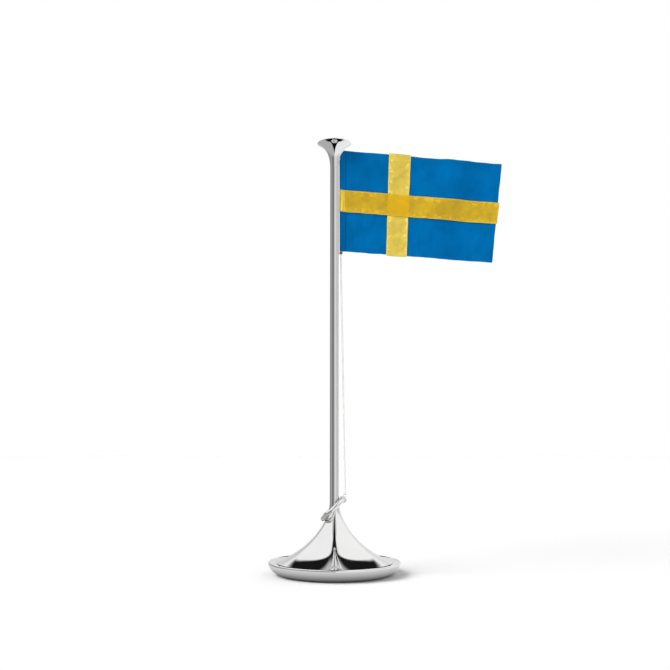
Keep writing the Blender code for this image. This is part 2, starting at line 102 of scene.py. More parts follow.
PAD_RECESS = 0.0003           # room round the pad and over it
RIM_ROUND = 0.0009
RIM_TURN = (110, 0)           # degrees of the round on the saucer's rim
LIP_W = 0.0069                # the saucer's lip, from the rim in to the cone
LIP_INNER_Z = 0.0102          # where the lip meets the cone
LIP_PULL = ((0.0020, 0.0001), (0.0043, 0.0009))
DISH_SIDE_Z = 0.0066          # height at which the outer side starts to turn under
DISH_TURN = 0.0050
DISH_UNDERSIDE = 0.0003       # above the table
DISH_FOOT_MARGIN = 0.0012
DISH_FLOOR_Z = 0.0034         # inside, over the pad
LEDGE_W = 0.0026              # the ledge that the cone stands on
LEDGE_DROP = 0.0013
HUB_R = 0.0125                # the hub that the tie rod passes through
HUB_WALL = 0.0015
HUB_TOP = 0.0095
ROD_BORE_R = 0.0023
CONE_WALL = 0.0015
CONE_CAVITY_TOP = 0.0440      # the cone is solid above this
CONE_NECK_PULL = 0.0200
CONE_SKIRT_PULL = (0.0270, 0.0094)
SKIRT_CLEARANCE = 0.0002      # between the cone's lower edge and the lip
SKIRT_RISE = 0.0004
POLE_WALL = 0.0006
FINIAL_RIM_T = 0.0007
FINIAL_RIM_TURN = (90, -60)   # degrees of the round on the flare's rim
FINIAL_NECK_PULL = 0.0080
FINIAL_NECK_SWELL = 0.0001
FINIAL_RIM_PULL = (0.0104, 0.0052)
POCKET_R = 0.0024             # the pocket for the stopper knot
POCKET_DEPTH = 0.0024
LINE_HOLE_R = 0.0011
BEAD_BORE = 1.12              # times the line's radius
BEAD_BARREL = 0.7             # below 1 the bead is fuller than a half round
CURVE_STEPS = 48
ARC_STEPS = 14

# ---- sizes of the line, the knots and the ring ---------------------------------------------------------

BRAID_PITCH = 0.0026          # along the line for one turn of a strand
BRAID_STRANDS = 8
BRAID_DEPTH = 0.13            # share of the radius that the furrows go in
BRAID_STEP = 0.00016          # along the line from one ring of points to the next
BRAID_SIDES = 24
TAIL_BOW = 0.0001             # how far the lower line bows towards the pole
TAIL_BOW_AT = 0.08            # share of the way down
ROUTE_POINTS = 24             # kept along each line's middle
ROUTE_SAMPLES = 60            # on the smooth curve between two points of a route
KNOT_STEPS = 180
KNOT_SIZE = 0.00042
KNOT_STRETCH = 1.1            # of its height
KNOT_STRAND_R = 0.00046
KNOT_SIDES = 16
WIRE_R = 0.00215
RING_SEGMENTS = 144
WIRE_SEGMENTS = 36
BUTT_GROOVE = 0.93            # the wire's ends meet in a fine groove
BUTT_AT = math.radians(128)   # round the ring from its front
HITCH_SEGMENTS = 96
HITCH_SIDES = 20
HITCH_THIN = 0.0004           # the loop's thickness where it passes between the wire and the pole
HITCH_CLEARANCE = 0.0002
HITCH_LAY_DEPTH = 0.05
HITCH_LAYS = 36               # strands that cross the loop, all the way round
WHIPPING_TURNS = 5
WHIPPING_STEPS = 40           # in one turn
WHIPPING_THREAD = 0.00034     # the thread's radius
WHIPPING_PITCH = 1.6          # times the thread's radius
WHIPPING_SINK = 3             # the thread's middle stands out from the line by its radius over this
WHIPPING_SIDES = 10

# ---- sizes of the cloth --------------------------------------------------------------------------------

CLOTH_CELL = 0.0008           # size of the grid that the cloth is cut from
CLOTH_CELLS = 4               # at least, across a piece
CLOTH_T = 0.00026
CLOTH_SMOOTH_ANGLE = math.radians(50)
FLAG_TOP = 0.3833
TAKE_UP = 0.985               # share of its flat size that the hung cloth spans
FLY_TAKE_UP = 0.022           # how much less of its height it spans at the fly
RIPPLE_SLANT = 0.25           # how far the ripples lean, for each metre down
SWELL_DEPTH = 0.0008          # broad random swells between the ripples
SWELL_SIZE = 0.026
SWELL_STRETCH = 0.55          # below 1 the swells are taller than they are wide
CRINKLE_SIZE = 0.0085
CRINKLE_ONSET = 6             # the crinkles are full this many times sooner than the ripples
EDGE_WAVER = 0.0004           # how far the cloth wanders out of line in its own plane
EDGE_WAVER_SIZE = 0.012
UPRIGHT_PUCKER = 0.5          # share of the crinkles' depth
UPRIGHT_PUCKER_SIZE = 0.0040
LEVEL_PUCKER = 0.6
LEVEL_PUCKER_SIZE = 0.0050
PUCKER_STRETCH = 0.7          # below 1 the puckers run across the ribbon
PANEL_START = 0.0020          # from the line to the panels' near edge
SEAM_ALLOWANCE = 0.0012       # how far a panel runs on behind a ribbon
UPRIGHT_LAYER = -0.00034      # in front of the panels, and under the level ribbon
LEVEL_LAYER = 0.00074         # how far the level ribbon's front and its folded end lie from the middle
RIBBON_STICKS_OUT = 0.0010
SLEEVE_FOLD_R = 0.00128
SLEEVE_REST = 0.00042         # how far the hem's two sides lie from the middle
SLEEVE_TAIL = 0.0042          # sewn down on each side
RIBBON_FOLD_R = 0.00156
RIBBON_TAIL = 0.0050          # folded back behind the hem
HELD_AT_CORNER = ("cloth_upper_hoist", "cloth_hem")
CORNER_DROP = 0.0108          # the upper hoist corner follows the finial's flare at most this far down
FLARE_CLEARANCE = 0.0004

# ---- sizes of the weave, the stitches and the selvedges ------------------------------------------------

THREADS = 4200.0              # to the metre
RIB_WAVES = 9000.0            # radians of rib to the metre
STITCH_PITCH = 0.0026
STITCH_HALF = 0.00016         # half a stitch's width
STITCH_SOFT = 0.00008
STITCH_GAP = (-0.35, -0.15)   # the part of each wave that is a gap between stitches ends here, softly
STITCH_INSET = 0.0013         # from the ribbon's edge to its row of stitches
SELVEDGE_W = 0.0007
SELVEDGE_SOFT = 0.0003
GLINT_ZONE = 0.0040           # from the ribbon's edge in, where highlights of glinting fibres are painted
GLINT_ZONE_SOFT = 0.0015
CROSSING_SOFT = 0.0002
HOIST_FOLDS = (0.0040, 0.0080)  # the painted light and shade where the hoist end is folded fades out over this

# ---- stage ---------------------------------------------------------------------------------------------

WHITE = (1.0, 1.0, 1.0, 1.0)
CAMERA_PLACE = (0.00054, -0.8145, 0.1160)
CAMERA_PITCH = math.radians(6.67)
CAMERA_LENS = 48.75
CAMERA_SENSOR = 36.0
CAMERA_CLIP = (0.01, 50.0)
FLOOR_R = 6.0
FLOOR_SIDES = 128
FLOOR_TONE = 0.64             # the grey that comes out white in this light
# A glowing disc under the stand paints the floor's reflection and the foot's shadow for the steel.
MIRRORED_R = 0.080
MIRRORED_LIFT = 0.00005       # above the floor
MIRRORED_DARK = 0.02          # painted shadow under the foot
MIRRORED_SHADOW = (0.0440, 0.0640)  # radii of the soft edge of the foot's painted shadow
MIRRORED_RISE = 0.62          # from dark to pale over the shadow's edge
MIRRORED_REST = 0.30          # and this much more over the fade
MIRRORED_FADE = (0.060, 0.090)  # radii over which it goes from pale to white
BACKDROP_R = 9.0
BACKDROP_SEGMENTS = 48
KEY_FROM = (-0.70, -0.33, 0.64)
KEY_STRENGTH = 4.0
KEY_SPREAD = math.radians(44)


# ---- settings ------------------------------------------------------------------------------------------


def length(name, about, value):
    return FloatProperty(name=name, description=about, default=value, min=0.0, unit="LENGTH", precision=5)


def angle(name, about, degrees):
    return FloatProperty(name=name, description=about, default=math.radians(degrees), unit="ROTATION")


def colour(name, about, value):
    settings = {"subtype": "COLOR", "min": 0.0, "max": 1.0}
    return FloatVectorProperty(name=name, description=about, default=value, **settings)


class StandSizes(bpy.types.PropertyGroup):
    foot_radius: length("Foot radius", "Outside of the saucer's rim", DISH_HIGH.x)
    rim_height: length("Rim height", "Top of the saucer's rim", DISH_HIGH.z)
    pad_radius: length("Pad radius", "Outside of the rubber pad", PAD_HIGH.x)
    cone_top: length("Cone top", "Height at which the pole starts", CONE_HIGH.z)
    pole_foot_radius: length("Pole radius, foot", "Outside of the pole at the cone", POLE_HIGH.x)
    pole_top_radius: length("Pole radius, top", "Outside of the pole at the finial", 0.0040)
    finial_radius: length("Finial radius", "Outside of the finial's rim", FINIAL_HIGH.x)
    height: length("Height", "Top of the finial", FINIAL_HIGH.z)


class FlagSizes(bpy.types.PropertyGroup):
    length: length("Length", "From the line to the fly", 0.1515)
    height: length("Height", "From the top edge to the bottom edge", 0.0968)
    upright_start: length("Upright ribbon start", "From the line to its near edge", 0.0454)
    upright_width: length("Upright ribbon width", "Width of the upright ribbon", 0.0205)
    level_start: length("Level ribbon start", "From the top edge to its upper edge", 0.0385)
    level_width: length("Level ribbon width", "Width of the level ribbon", 0.0207)
    droop: angle("Droop", "How far the top edge slopes down", 4.9)
    fly_lean: angle("Fly lean", "How far the fly's lower corner hangs in", 6.6)
    ripple_depth: length("Ripple depth", "Half the height of the broad ripples", 0.0009)
    ripple_length: length("Ripple length", "From one broad ripple to the next", 0.062)
    crinkle_depth: length("Crinkle depth", "Half the height of the small crinkles", 0.00035)


class Finishes(bpy.types.PropertyGroup):
    steel: colour("Polished steel", "Reflection of the polished metal", (0.81, 0.81, 0.806))
    zinc: colour("Zinc plate", "Reflection of the plated screws and plugs", (0.60, 0.61, 0.60))
    iron: colour("Cast iron", "Colour of the ballast", (0.09, 0.09, 0.09))
    rubber: colour("Rubber", "Colour of the pad", (0.022, 0.022, 0.023))
    line: colour("Line", "Colour of the braided line", (0.86, 0.86, 0.85))
    blue: colour("Blue cloth", "Colour of the four panels", (0.0006, 0.124, 0.350))
    gold: colour("Upright ribbon", "Colour of the upright ribbon", (0.640, 0.484, 0.076))
    level_gold: colour("Level ribbon", "Colour of the level ribbon", (0.510, 0.330, 0.017))
    crossing: colour("Crossing", "Colour where one ribbon lies on the other", (0.625, 0.372, 0.0085))
    bead: colour("Stop bead", "Colour of the browned bead", (0.30, 0.11, 0.05))


# ---- shader sums ---------------------------------------------------------------------------------------


class Wire:
    """One socket of a node tree. Arithmetic on wires and numbers adds Math nodes to the tree."""

    def __init__(self, tree, socket=None):
        self.tree = tree
        self.socket = socket

    def add(self, kind, settings=None, sockets=None, out=0):
        """Adds any node, sets it up, then fills or joins its sockets. Returns one of its outputs."""
        node = self.tree.nodes.new(kind)
        for name, value in (settings or {}).items():
            if name == "stops":
                self.set_stops(node.color_ramp, value)
            else:
                setattr(node, name, value)
        for name, value in (sockets or {}).items():
            if isinstance(value, Wire):
                self.tree.links.new(value.socket, node.inputs[name])
            else:
                node.inputs[name].default_value = value
        return Wire(self.tree, node.outputs[out]) if node.outputs else None

    @staticmethod
    def set_stops(ramp, stops):
        while len(ramp.elements) < len(stops):
            ramp.elements.new(1.0)
        for element, (place, value) in zip(ramp.elements, stops):
            element.position = place
            element.color = (value, value, value, 1.0)

    def math(self, operation, *values):
        return self.add("ShaderNodeMath", {"operation": operation}, dict(enumerate(values)))

    def sine(self):
        return self.math("SINE", self)

    def parts(self):
        """The x, y and z of this vector."""
        return [self.add("ShaderNodeSeparateXYZ", {}, {0: self}, axis) for axis in "XYZ"]

    def smooth(self, start, end):
        """0 before start and 1 after end, with a soft step between them."""
        sockets = {"Value": self, "From Min": start, "From Max": end}
        return self.add("ShaderNodeMapRange", {"interpolation_type": "SMOOTHSTEP"}, sockets)

    def blend(self, first, second):
        """A colour that goes from first to second as this wire goes from 0 to 1."""
        sockets = {0: self, 6: rgba(first), 7: rgba(second)}
        return self.add("ShaderNodeMix", {"data_type": "RGBA"}, sockets, 2)

    def __add__(self, other):
        return self.math("ADD", self, other)

    def __sub__(self, other):
        return self.math("SUBTRACT", self, other)

    def __mul__(self, other):
        return self.math("MULTIPLY", self, other)

    def __rsub__(self, other):
        return self.math("SUBTRACT", other, self)

    def __abs__(self):
        return self.math("ABSOLUTE", self)

    __radd__ = __add__
    __rmul__ = __mul__


CLOUD_SPREAD = (0.3, 0.7)


def rgba(value):
    return value if isinstance(value, Wire) else (*value[:3], 1.0)


def tinted(value, factor):
    return tuple(min(1.0, part * factor) for part in value[:3])


def new_material(name):
    material = bpy.data.materials.new(name)
    material.use_nodes = True
    material.node_tree.nodes.clear()
    return material, Wire(material.node_tree)


def coordinates(tree, kind="Object", scale=(1.0, 1.0, 1.0)):
    place = tree.add("ShaderNodeTexCoord", {}, {}, kind)
    return tree.add("ShaderNodeMapping", {}, {"Vector": place, "Scale": scale})


def cloudy(tree, place, scale, detail=2.0):
    """Soft random patches from 0 to 1, of about 1/scale metres."""
    sockets = {"Vector": place, "Scale": scale, "Detail": detail}
    return tree.add("ShaderNodeTexNoise", {}, sockets).smooth(*CLOUD_SPREAD)


def close_material(tree, **values):
    """Joins a Principled shader with these inputs to the tree's output. Underscores stand for spaces."""
    sockets = {name.replace("_", " "): value for name, value in values.items()}
    shader = tree.add("ShaderNodeBsdfPrincipled", {}, sockets)
    tree.add("ShaderNodeOutputMaterial", {}, {"Surface": shader})


def bumped(tree, height, distance, strength=1.0):
    return tree.add("ShaderNodeBump", {}, {"Height": height, "Distance": distance, "Strength": strength})


# ---- finishes ------------------------------------------------------------------------------------------


def finishes():
    return bpy.context.scene.flag_finishes


def polished_steel():
    """Mirror-polished metal with faint wiping marks and finger smudges."""
    material, tree = new_material("mirror_steel")
    smudge = cloudy(tree, coordinates(tree), scale=55.0, detail=3.0)
    wipes = cloudy(tree, coordinates(tree, scale=(1.0, 1.0, 0.12)), scale=900.0)
    close_material(
        tree,
        Base_Color=smudge.blend(finishes().steel, tinted(finishes().steel, 0.975)),
        Metallic=1.0,
        Roughness=0.028 + 0.022 * smudge + 0.010 * wipes,
        Normal=bumped(tree, wipes, distance=0.0000004),
    )
    return material


def zinc_plate():
    """Dull bright plate with a crystalline mottle."""
    material, tree = new_material("bright_zinc")
    mottle = cloudy(tree, coordinates(tree), scale=900.0, detail=3.0)
    close_material(
        tree,
        Base_Color=mottle.blend(tinted(finishes().zinc, 0.85), finishes().zinc),
        Metallic=1.0,
        Roughness=0.30 + 0.12 * mottle,
        Normal=bumped(tree, mottle, distance=0.00001),
    )
    return material


def cast_iron():
    """Grainy casting with a little rust in the grain."""
    material, tree = new_material("rough_iron")
    grain = cloudy(tree, coordinates(tree), scale=1400.0, detail=4.0)
    rust = cloudy(tree, coordinates(tree), scale=160.0)
    close_material(
        tree,
        Base_Color=(grain * rust).blend(finishes().iron, (0.16, 0.10, 0.07)),
        Metallic=1.0,
        Roughness=0.62 + 0.2 * grain,
        Normal=bumped(tree, grain, distance=0.00012),
    )
    return material


def pad_rubber():
    """Matt moulded rubber with a film of dust."""
    material, tree = new_material("moulded_rubber")
    grain = cloudy(tree, coordinates(tree), scale=2600.0)
    dust = cloudy(tree, coordinates(tree), scale=70.0, detail=4.0)
    close_material(
        tree,
        Base_Color=dust.blend(finishes().rubber, (0.060, 0.058, 0.055)),
        Roughness=0.78 + 0.14 * dust,
        Normal=bumped(tree, grain, distance=0.00004),
    )
    return material


def white_line():
    """Braided line: the strands are modelled, and the fibres in them are grain."""
    material, tree = new_material("braided_cotton")
    fibre = cloudy(tree, coordinates(tree, scale=(1.0, 1.0, 0.2)), scale=9000.0)
    soil = cloudy(tree, coordinates(tree), scale=130.0)
    close_material(
        tree,
        Base_Color=soil.blend(finishes().line, tinted(finishes().line, 0.93)),
        Roughness=0.62 + 0.12 * fibre,
        Normal=bumped(tree, fibre, distance=0.00003),
        Sheen_Weight=0.2,
        Specular_IOR_Level=0.35,
    )
    return material


def browned_bead():
    """Browned brass, rubbed bright in places."""
    material, tree = new_material("browned_brass")
    rub = cloudy(tree, coordinates(tree), scale=1800.0, detail=3.0)
    close_material(
        tree,
        Base_Color=rub.blend(finishes().bead, tinted(finishes().bead, 1.7)),
        Metallic=0.85,
        Roughness=0.34 + 0.2 * rub,
        Normal=bumped(tree, rub, distance=0.00001),
    )
    return material


def cloth_map(tree):
    """Metres along and down the flat cloth, from its own map."""
    return tree.add("ShaderNodeTexCoord", {}, {}, "UV").parts()[:2]


def weave(tree, threads):
    """Height of a plain weave, 0 to 1, with that many threads to the metre both ways."""
    along, down = cloth_map(tree)
    over = (along * (threads * math.pi)).sine()
    under = (down * (threads * math.pi)).sine()
    return 0.5 + 0.5 * (over * under)


def band(value, start, end, soft):
    """1 between start and end, and 0 outside."""
    return value.smooth(start - soft, start + soft) * (1 - value.smooth(end - soft, end + soft))


def stitches(across, down, first, second):
    """1 on two rows of short stitches that run down the ribbon at these places across it."""
    dash = (down * (math.tau / STITCH_PITCH)).sine().smooth(*STITCH_GAP)
    rows = [band(across, row - STITCH_HALF, row + STITCH_HALF, STITCH_SOFT) for row in (first, second)]
    return (rows[0] + rows[1]) * dash


def blue_cloth():
    """Plain-woven cloth with thicker threads here and there, and painted shade in its hollows and ripples.
    """
    material, tree = new_material("blue_bunting")
    threads = weave(tree, THREADS)
    painted_ripple_shade = cloudy(tree, coordinates(tree), scale=48.0)
    slubs = cloudy(tree, coordinates(tree, "UV", (600.0, 40.0, 1.0)), scale=1.0)
    # painted shade: darker in the weave's hollows and in broad blotches for the ripples; the slubs are real
    # thicker threads
    shade_and_weave_tone = 0.30 * threads + 0.55 * painted_ripple_shade + 0.15 * slubs
    blue = finishes().blue
    close_material(
        tree,
        Base_Color=shade_and_weave_tone.blend(tinted(blue, 0.80), tinted(blue, 1.12)),
        Roughness=0.66 + 0.12 * threads,
        Normal=bumped(tree, threads, distance=0.00004, strength=0.5),
        Specular_IOR_Level=0.0,
    )
    return material


def inside(across, edges, margin, soft):
    """1 further than a margin inside the ribbon's two edges."""
    return band(across, edges[0] + margin, edges[1] - margin, soft)


def ribbon_cloth(name, gold, edges, runs_down, crossing=None):
    """Fine ribbed ribbon with pale selvedges and a row of stitches inside each, painted shade in its ribs
    and crinkles, and painted highlights near its edges. Crossing is where another ribbon lies under this
    one, whose hoist end is then folded round the hem and painted with the light and shade of folding."""
    material, tree = new_material(name)
    across, down = cloth_map(tree)
    if not runs_down:
        across, down = down, across
    ribs = (down * RIB_WAVES).sine() * 0.5 + 0.5
    crush = cloudy(tree, coordinates(tree), scale=230.0, detail=4.0)
    painted_ripple_shade = cloudy(tree, coordinates(tree), scale=75.0)
    thread = stitches(across, down, edges[0] + STITCH_INSET, edges[1] - STITCH_INSET)
    # painted shade: darker in the ribs' furrows, in the crinkles and in broad blotches for the ripples
    shade_and_weave_tone = 0.25 * ribs + 0.40 * crush + 0.35 * painted_ripple_shade
    face = shade_and_weave_tone.blend(tinted(gold, 0.82), tinted(gold, 1.10))
    # painted highlights: pale gold specks near the ribbon's edges
    painted_glint_spots = cloudy(tree, coordinates(tree), scale=260.0, detail=3.0).smooth(0.66, 0.78)
    painted_glints = painted_glint_spots * (1 - inside(across, edges, GLINT_ZONE, GLINT_ZONE_SOFT))
    face = (0.7 * painted_glints).blend(face, tinted(gold, 1.4))
    if crossing:
        crossed = band(down, crossing[0], crossing[1], CROSSING_SOFT)
        deep = finishes().crossing
        face = crossed.blend(face, shade_and_weave_tone.blend(tinted(deep, 0.90), tinted(deep, 1.08)))
        # painted light and shade of folding: paler gold streaks at the level ribbon's hoist end
        streaks = coordinates(tree, "UV", (620.0, 26.0, 1.0))
        painted_fold_streaks = cloudy(tree, streaks, scale=1.0).smooth(0.35, 0.65)
        folded = painted_fold_streaks.blend(tinted(gold, 1.15), tinted(finishes().gold, 1.40))
        face = (1 - down.smooth(*HOIST_FOLDS)).blend(face, folded)
    edged = inside(across, edges, SELVEDGE_W, SELVEDGE_SOFT).blend(tinted(gold, 1.22), face)
    close_material(
        tree,
        Base_Color=thread.blend(edged, tinted(gold, 1.30)),
        Roughness=0.46 + 0.14 * crush,
        Normal=bumped(tree, 0.4 * ribs + 1.6 * crush + 1.2 * thread, distance=0.00006, strength=0.7),
        Specular_IOR_Level=0.15,
    )
    return material


# ---- modelling -----------------------------------------------------------------------------------------


def material_of(name, make):
    return bpy.data.materials.get(name) or make()


def dress(piece, name, material, body, slot, *nodes):
    """Names a finished piece, gives it its finish, and sets it on its body in place of its CAD nodes; the
    pieces held at the hoist corner instead have their place baked into their mesh. The steel doesn't mirror
    the flag's pieces."""
    piece.visible_glossy = body != "flag"
    piece.name = name
    piece.data.name = name
    piece.data.materials.clear()
    piece.data.materials.append(material)
    if name in HELD_AT_CORNER:
        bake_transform(piece)
    else:
        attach(piece, body)
    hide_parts(*nodes)
    return piece


def deselect():
    if bpy.context.mode != "OBJECT":
        bpy.ops.object.mode_set(mode="OBJECT")
    bpy.ops.object.select_all(action="DESELECT")


def edit_all():
    bpy.ops.object.mode_set(mode="EDIT")
    bpy.ops.mesh.select_all(action="SELECT")


def close_edit():
    """Merges doubles, turns the faces outwards and leaves edit mode."""
    bpy.ops.mesh.select_all(action="SELECT")
    bpy.ops.mesh.remove_doubles(threshold=MERGE)
    bpy.ops.mesh.normals_make_consistent(inside=False)
    bpy.ops.object.mode_set(mode="OBJECT")


def curve_points(start, pull_start, pull_end, end, steps=CURVE_STEPS):
    """Points on a smooth curve from start to end, both included, drawn out towards two pulls."""
    points = []
    for i in range(steps + 1):
        t = i / steps
        s = 1 - t
        weights = (s**3, 3 * s * s * t, 3 * s * t * t, t**3)
        knots = (start, pull_start, pull_end, end)
        points.append(tuple(sum(w * k[axis] for w, k in zip(weights, knots)) for axis in (0, 1)))
    return points


def arc_points(centre, radius, start, end, steps=ARC_STEPS):
    """Points on an arc between two angles in degrees, both included."""
    points = []
    for i in range(steps + 1):
        turn = math.radians(start + (end - start) * i / steps)
        points.append((centre[0] + radius * math.cos(turn), centre[1] + radius * math.sin(turn)))
    return points


def turned(outline, steps=TURN_STEPS, closed=True):
    """Draws an outline of (radius, height) point by point and spins it round the pole's axis."""
    deselect()
    points = list(outline) + ([outline[0]] if closed else [])
    bpy.ops.mesh.primitive_plane_add(size=STARTER)
    edit_all()
    bpy.ops.mesh.merge(type="CENTER")
    bpy.ops.transform.translate(value=(points[0][0], 0, points[0][1]))
    for here, there in zip(points, points[1:]):
        step = (there[0] - here[0], 0, there[1] - here[1])
        bpy.ops.mesh.extrude_vertices_move(TRANSFORM_OT_translate={"value": step})
    bpy.ops.mesh.select_all(action="SELECT")
    bpy.ops.mesh.spin(steps=steps, angle=math.tau, center=(0, 0, 0), axis=(0, 0, 1))
    close_edit()
    bpy.ops.object.shade_smooth_by_angle(angle=SMOOTH_ANGLE)
    return bpy.context.object


def moved(piece, offset):
    """Shifts the mesh inside its object, which stays at the origin."""
    edit_all()
    bpy.ops.transform.translate(value=offset)
    bpy.ops.object.mode_set(mode="OBJECT")
    return piece


def drilled(piece, cutter):
    """Cuts one mesh out of another and removes the cutter."""
    hole = piece.modifiers.new("Hole", "BOOLEAN")
    hole.operation = "DIFFERENCE"
    hole.solver = "EXACT"
    hole.object = cutter
    deselect()
    piece.select_set(True)
    bpy.context.view_layer.objects.active = piece
    bpy.ops.object.modifier_apply(modifier=hole.name)
    bpy.data.objects.remove(cutter, do_unlink=True)
    bpy.ops.object.shade_smooth_by_angle(angle=SMOOTH_ANGLE)
    return piece


# ---- foot, cone, pole and finial -----------------------------------------------------------------------


def foot_pad(sizes):
    top = PAD_HIGH.z
    edge = sizes.pad_radius
    outline = [(0, top), (edge - EDGE_ROUND, top), (edge, top - EDGE_ROUND)]
    outline += [(edge, EDGE_ROUND), (edge - EDGE_ROUND, 0), (0, 0)]
    return turned(outline, closed=False)


def base_dish(sizes):
    """The saucer: rounded rim, outer side, recess for the pad, hub, ledge under the cone, and lip."""
    edge = sizes.foot_radius
    rim_centre = (edge - RIM_ROUND, sizes.rim_height - RIM_ROUND)
    recess = sizes.pad_radius + PAD_RECESS
    recess_top = PAD_HIGH.z + PAD_RECESS
    seam = edge - LIP_W
    outline = arc_points(rim_centre, RIM_ROUND, *RIM_TURN)
    outline += curve_points(
        (edge, rim_centre[1]),
        (edge, DISH_SIDE_Z),
        (edge - DISH_TURN, DISH_UNDERSIDE),
        (recess + DISH_FOOT_MARGIN, DISH_UNDERSIDE),
    )[1:]
    outline += [(recess, DISH_UNDERSIDE), (recess, recess_top), (HUB_R, recess_top)]
    outline += [(HUB_R, HUB_TOP - HUB_WALL), (ROD_BORE_R, HUB_TOP - HUB_WALL), (ROD_BORE_R, HUB_TOP)]
    outline += [(HUB_R + HUB_WALL, HUB_TOP), (HUB_R + HUB_WALL, DISH_FLOOR_Z)]
    outline += [(recess + LEDGE_W, DISH_FLOOR_Z)]
    outline += [(seam - LEDGE_W, LIP_INNER_Z - LEDGE_DROP), (seam, LIP_INNER_Z - LEDGE_DROP)]
    outline += curve_points(
        (seam, LIP_INNER_Z),
        (seam + LIP_PULL[0][0], LIP_INNER_Z + LIP_PULL[0][1]),
        (seam + LIP_PULL[1][0], sizes.rim_height - LIP_PULL[1][1]),
        outline[0],
        CURVE_STEPS // 2,
    )[:-1]
    return turned(outline)


def base_cone(sizes):
    """The trumpet cone, hollow below its neck."""
    skirt_r = sizes.foot_radius - LIP_W - SKIRT_CLEARANCE
    skirt_z = LIP_INNER_Z + SKIRT_RISE
    top = sizes.cone_top + JOINT_GAP - HAIRLINE
    outside = curve_points(
        (sizes.pole_foot_radius, top - JOINT_ROUND),
        (sizes.pole_foot_radius, top - CONE_NECK_PULL),
        (skirt_r - CONE_SKIRT_PULL[0], skirt_z + CONE_SKIRT_PULL[1]),
        (skirt_r, skirt_z),
        2 * CURVE_STEPS,
    )
    inside = []
    for before, here, after in zip(outside, outside[1:], outside[2:]):
        along = Vector((after[0] - before[0], after[1] - before[1])).normalized()
        place = (here[0] + CONE_WALL * along.y, here[1] - CONE_WALL * along.x)
        if place[1] < CONE_CAVITY_TOP:
            inside.append(place)
    inside.reverse()
    neck = sizes.pole_foot_radius - JOINT_ROUND
    outline = [(ROD_BORE_R, top), (neck, top)] + outside + inside[::4]
    outline += [(inside[-1][0], CONE_CAVITY_TOP), (ROD_BORE_R, CONE_CAVITY_TOP)]
    return turned(outline)


def pole_tube(sizes):
    """The slightly tapered pole."""
    bore = sizes.pole_top_radius - POLE_WALL
    bottom = POLE_LOW.z
    top = POLE_HIGH.z + JOINT_GAP - HAIRLINE
    foot = sizes.pole_foot_radius
    head = sizes.pole_top_radius
    outline = [(bore, top), (head - JOINT_ROUND, top), (head, top - JOINT_ROUND)]
    for i in range(1, ARC_STEPS):
        share = i / ARC_STEPS
        outline.append((head + (foot - head) * share, top + (bottom - top) * share))
    outline += [(foot, bottom + JOINT_ROUND), (foot - JOINT_ROUND, bottom), (bore, bottom)]
    return turned(outline)


def finial_rim(sizes):
    """The round on the flare's rim."""
    rim = (sizes.finial_radius - FINIAL_RIM_T / 2, sizes.height - FINIAL_RIM_T / 2)
    return arc_points(rim, FINIAL_RIM_T / 2, *FINIAL_RIM_TURN)


def finial_flare(sizes):
    """The flare's outline, from under the rim down to the neck."""
    start = finial_rim(sizes)[-1]
    bottom = FINIAL_LOW.z
    neck = sizes.pole_top_radius
    return curve_points(
        start,
        (start[0] - FINIAL_RIM_PULL[0], start[1] - FINIAL_RIM_PULL[1]),
        (neck + FINIAL_NECK_SWELL, bottom + FINIAL_NECK_PULL),
        (neck, bottom + JOINT_ROUND),
        2 * CURVE_STEPS,
    )


def finial(sizes):
    """The flared finial, with the pocket for the knot and the hole for the line drilled down it."""
    bottom = FINIAL_LOW.z
    neck = sizes.pole_top_radius
    outline = [(0, sizes.height)] + finial_rim(sizes) + finial_flare(sizes)[1:]
    outline += [(neck - JOINT_ROUND, bottom), (0, bottom)]
    body = turned(outline, closed=False)
    floor = sizes.height - POCKET_DEPTH
    above = sizes.height + POCKET_DEPTH
    drill = [(0, above), (POCKET_R, above), (POCKET_R, floor), (LINE_HOLE_R, floor)]
    drill += [(LINE_HOLE_R, bottom), (0, bottom)]
    cutter = moved(turned(drill, SMALL_STEPS, closed=False), (LINE_X, 0, 0))
    return drilled(body, cutter)


def stop_bead():
    """A small barrel bead with a bore for the line."""
    middle = (STOP_LOW.z + STOP_HIGH.z) / 2
    tall = (STOP_HIGH.z - STOP_LOW.z) / 2
    wide = (STOP_HIGH.x - STOP_LOW.x) / 2
    bore = LINE_R * BEAD_BORE
    outline = []
    for i in range(ARC_STEPS * 2 + 1):
        turn = math.radians(90 - 180 * i / (ARC_STEPS * 2))
        out = bore + (wide - bore) * math.cos(turn) ** BEAD_BARREL
        outline.append((out, middle + tall * math.sin(turn)))
    return moved(turned(outline, SMALL_STEPS), (LINE_X, 0, 0))


# ---- line, knots and ring ------------------------------------------------------------------------------


def route_through(knots, count):
    """Evenly spaced points on a smooth curve through these, and the curve's length."""
    places = [Vector(knot) for knot in knots]
    ends = [2 * places[0] - places[1]] + places + [2 * places[-1] - places[-2]]
    fine = []
    for before, start, end, after in zip(ends, ends[1:], ends[2:], ends[3:]):
        for i in range(ROUTE_SAMPLES):
            t = i / ROUTE_SAMPLES
            fine.append(
                0.5 * (2 * start + (end - before) * t)
                + 0.5 * (2 * before - 5 * start + 4 * end - after) * t * t
                + 0.5 * (3 * start - before - 3 * end + after) * t**3
            )
    fine.append(places[-1])
    walked = [0.0]
    for a, b in zip(fine, fine[1:]):
        walked.append(walked[-1] + (b - a).length)
    even = []
    at = 0
    for i in range(count):
        goal = walked[-1] * i / (count - 1)
        while at < len(walked) - 2 and walked[at + 1] < goal:
            at += 1
        share = (goal - walked[at]) / max(walked[at + 1] - walked[at], MERGE)
        even.append(fine[at].lerp(fine[at + 1], min(1.0, share)))
    return even, walked[-1]


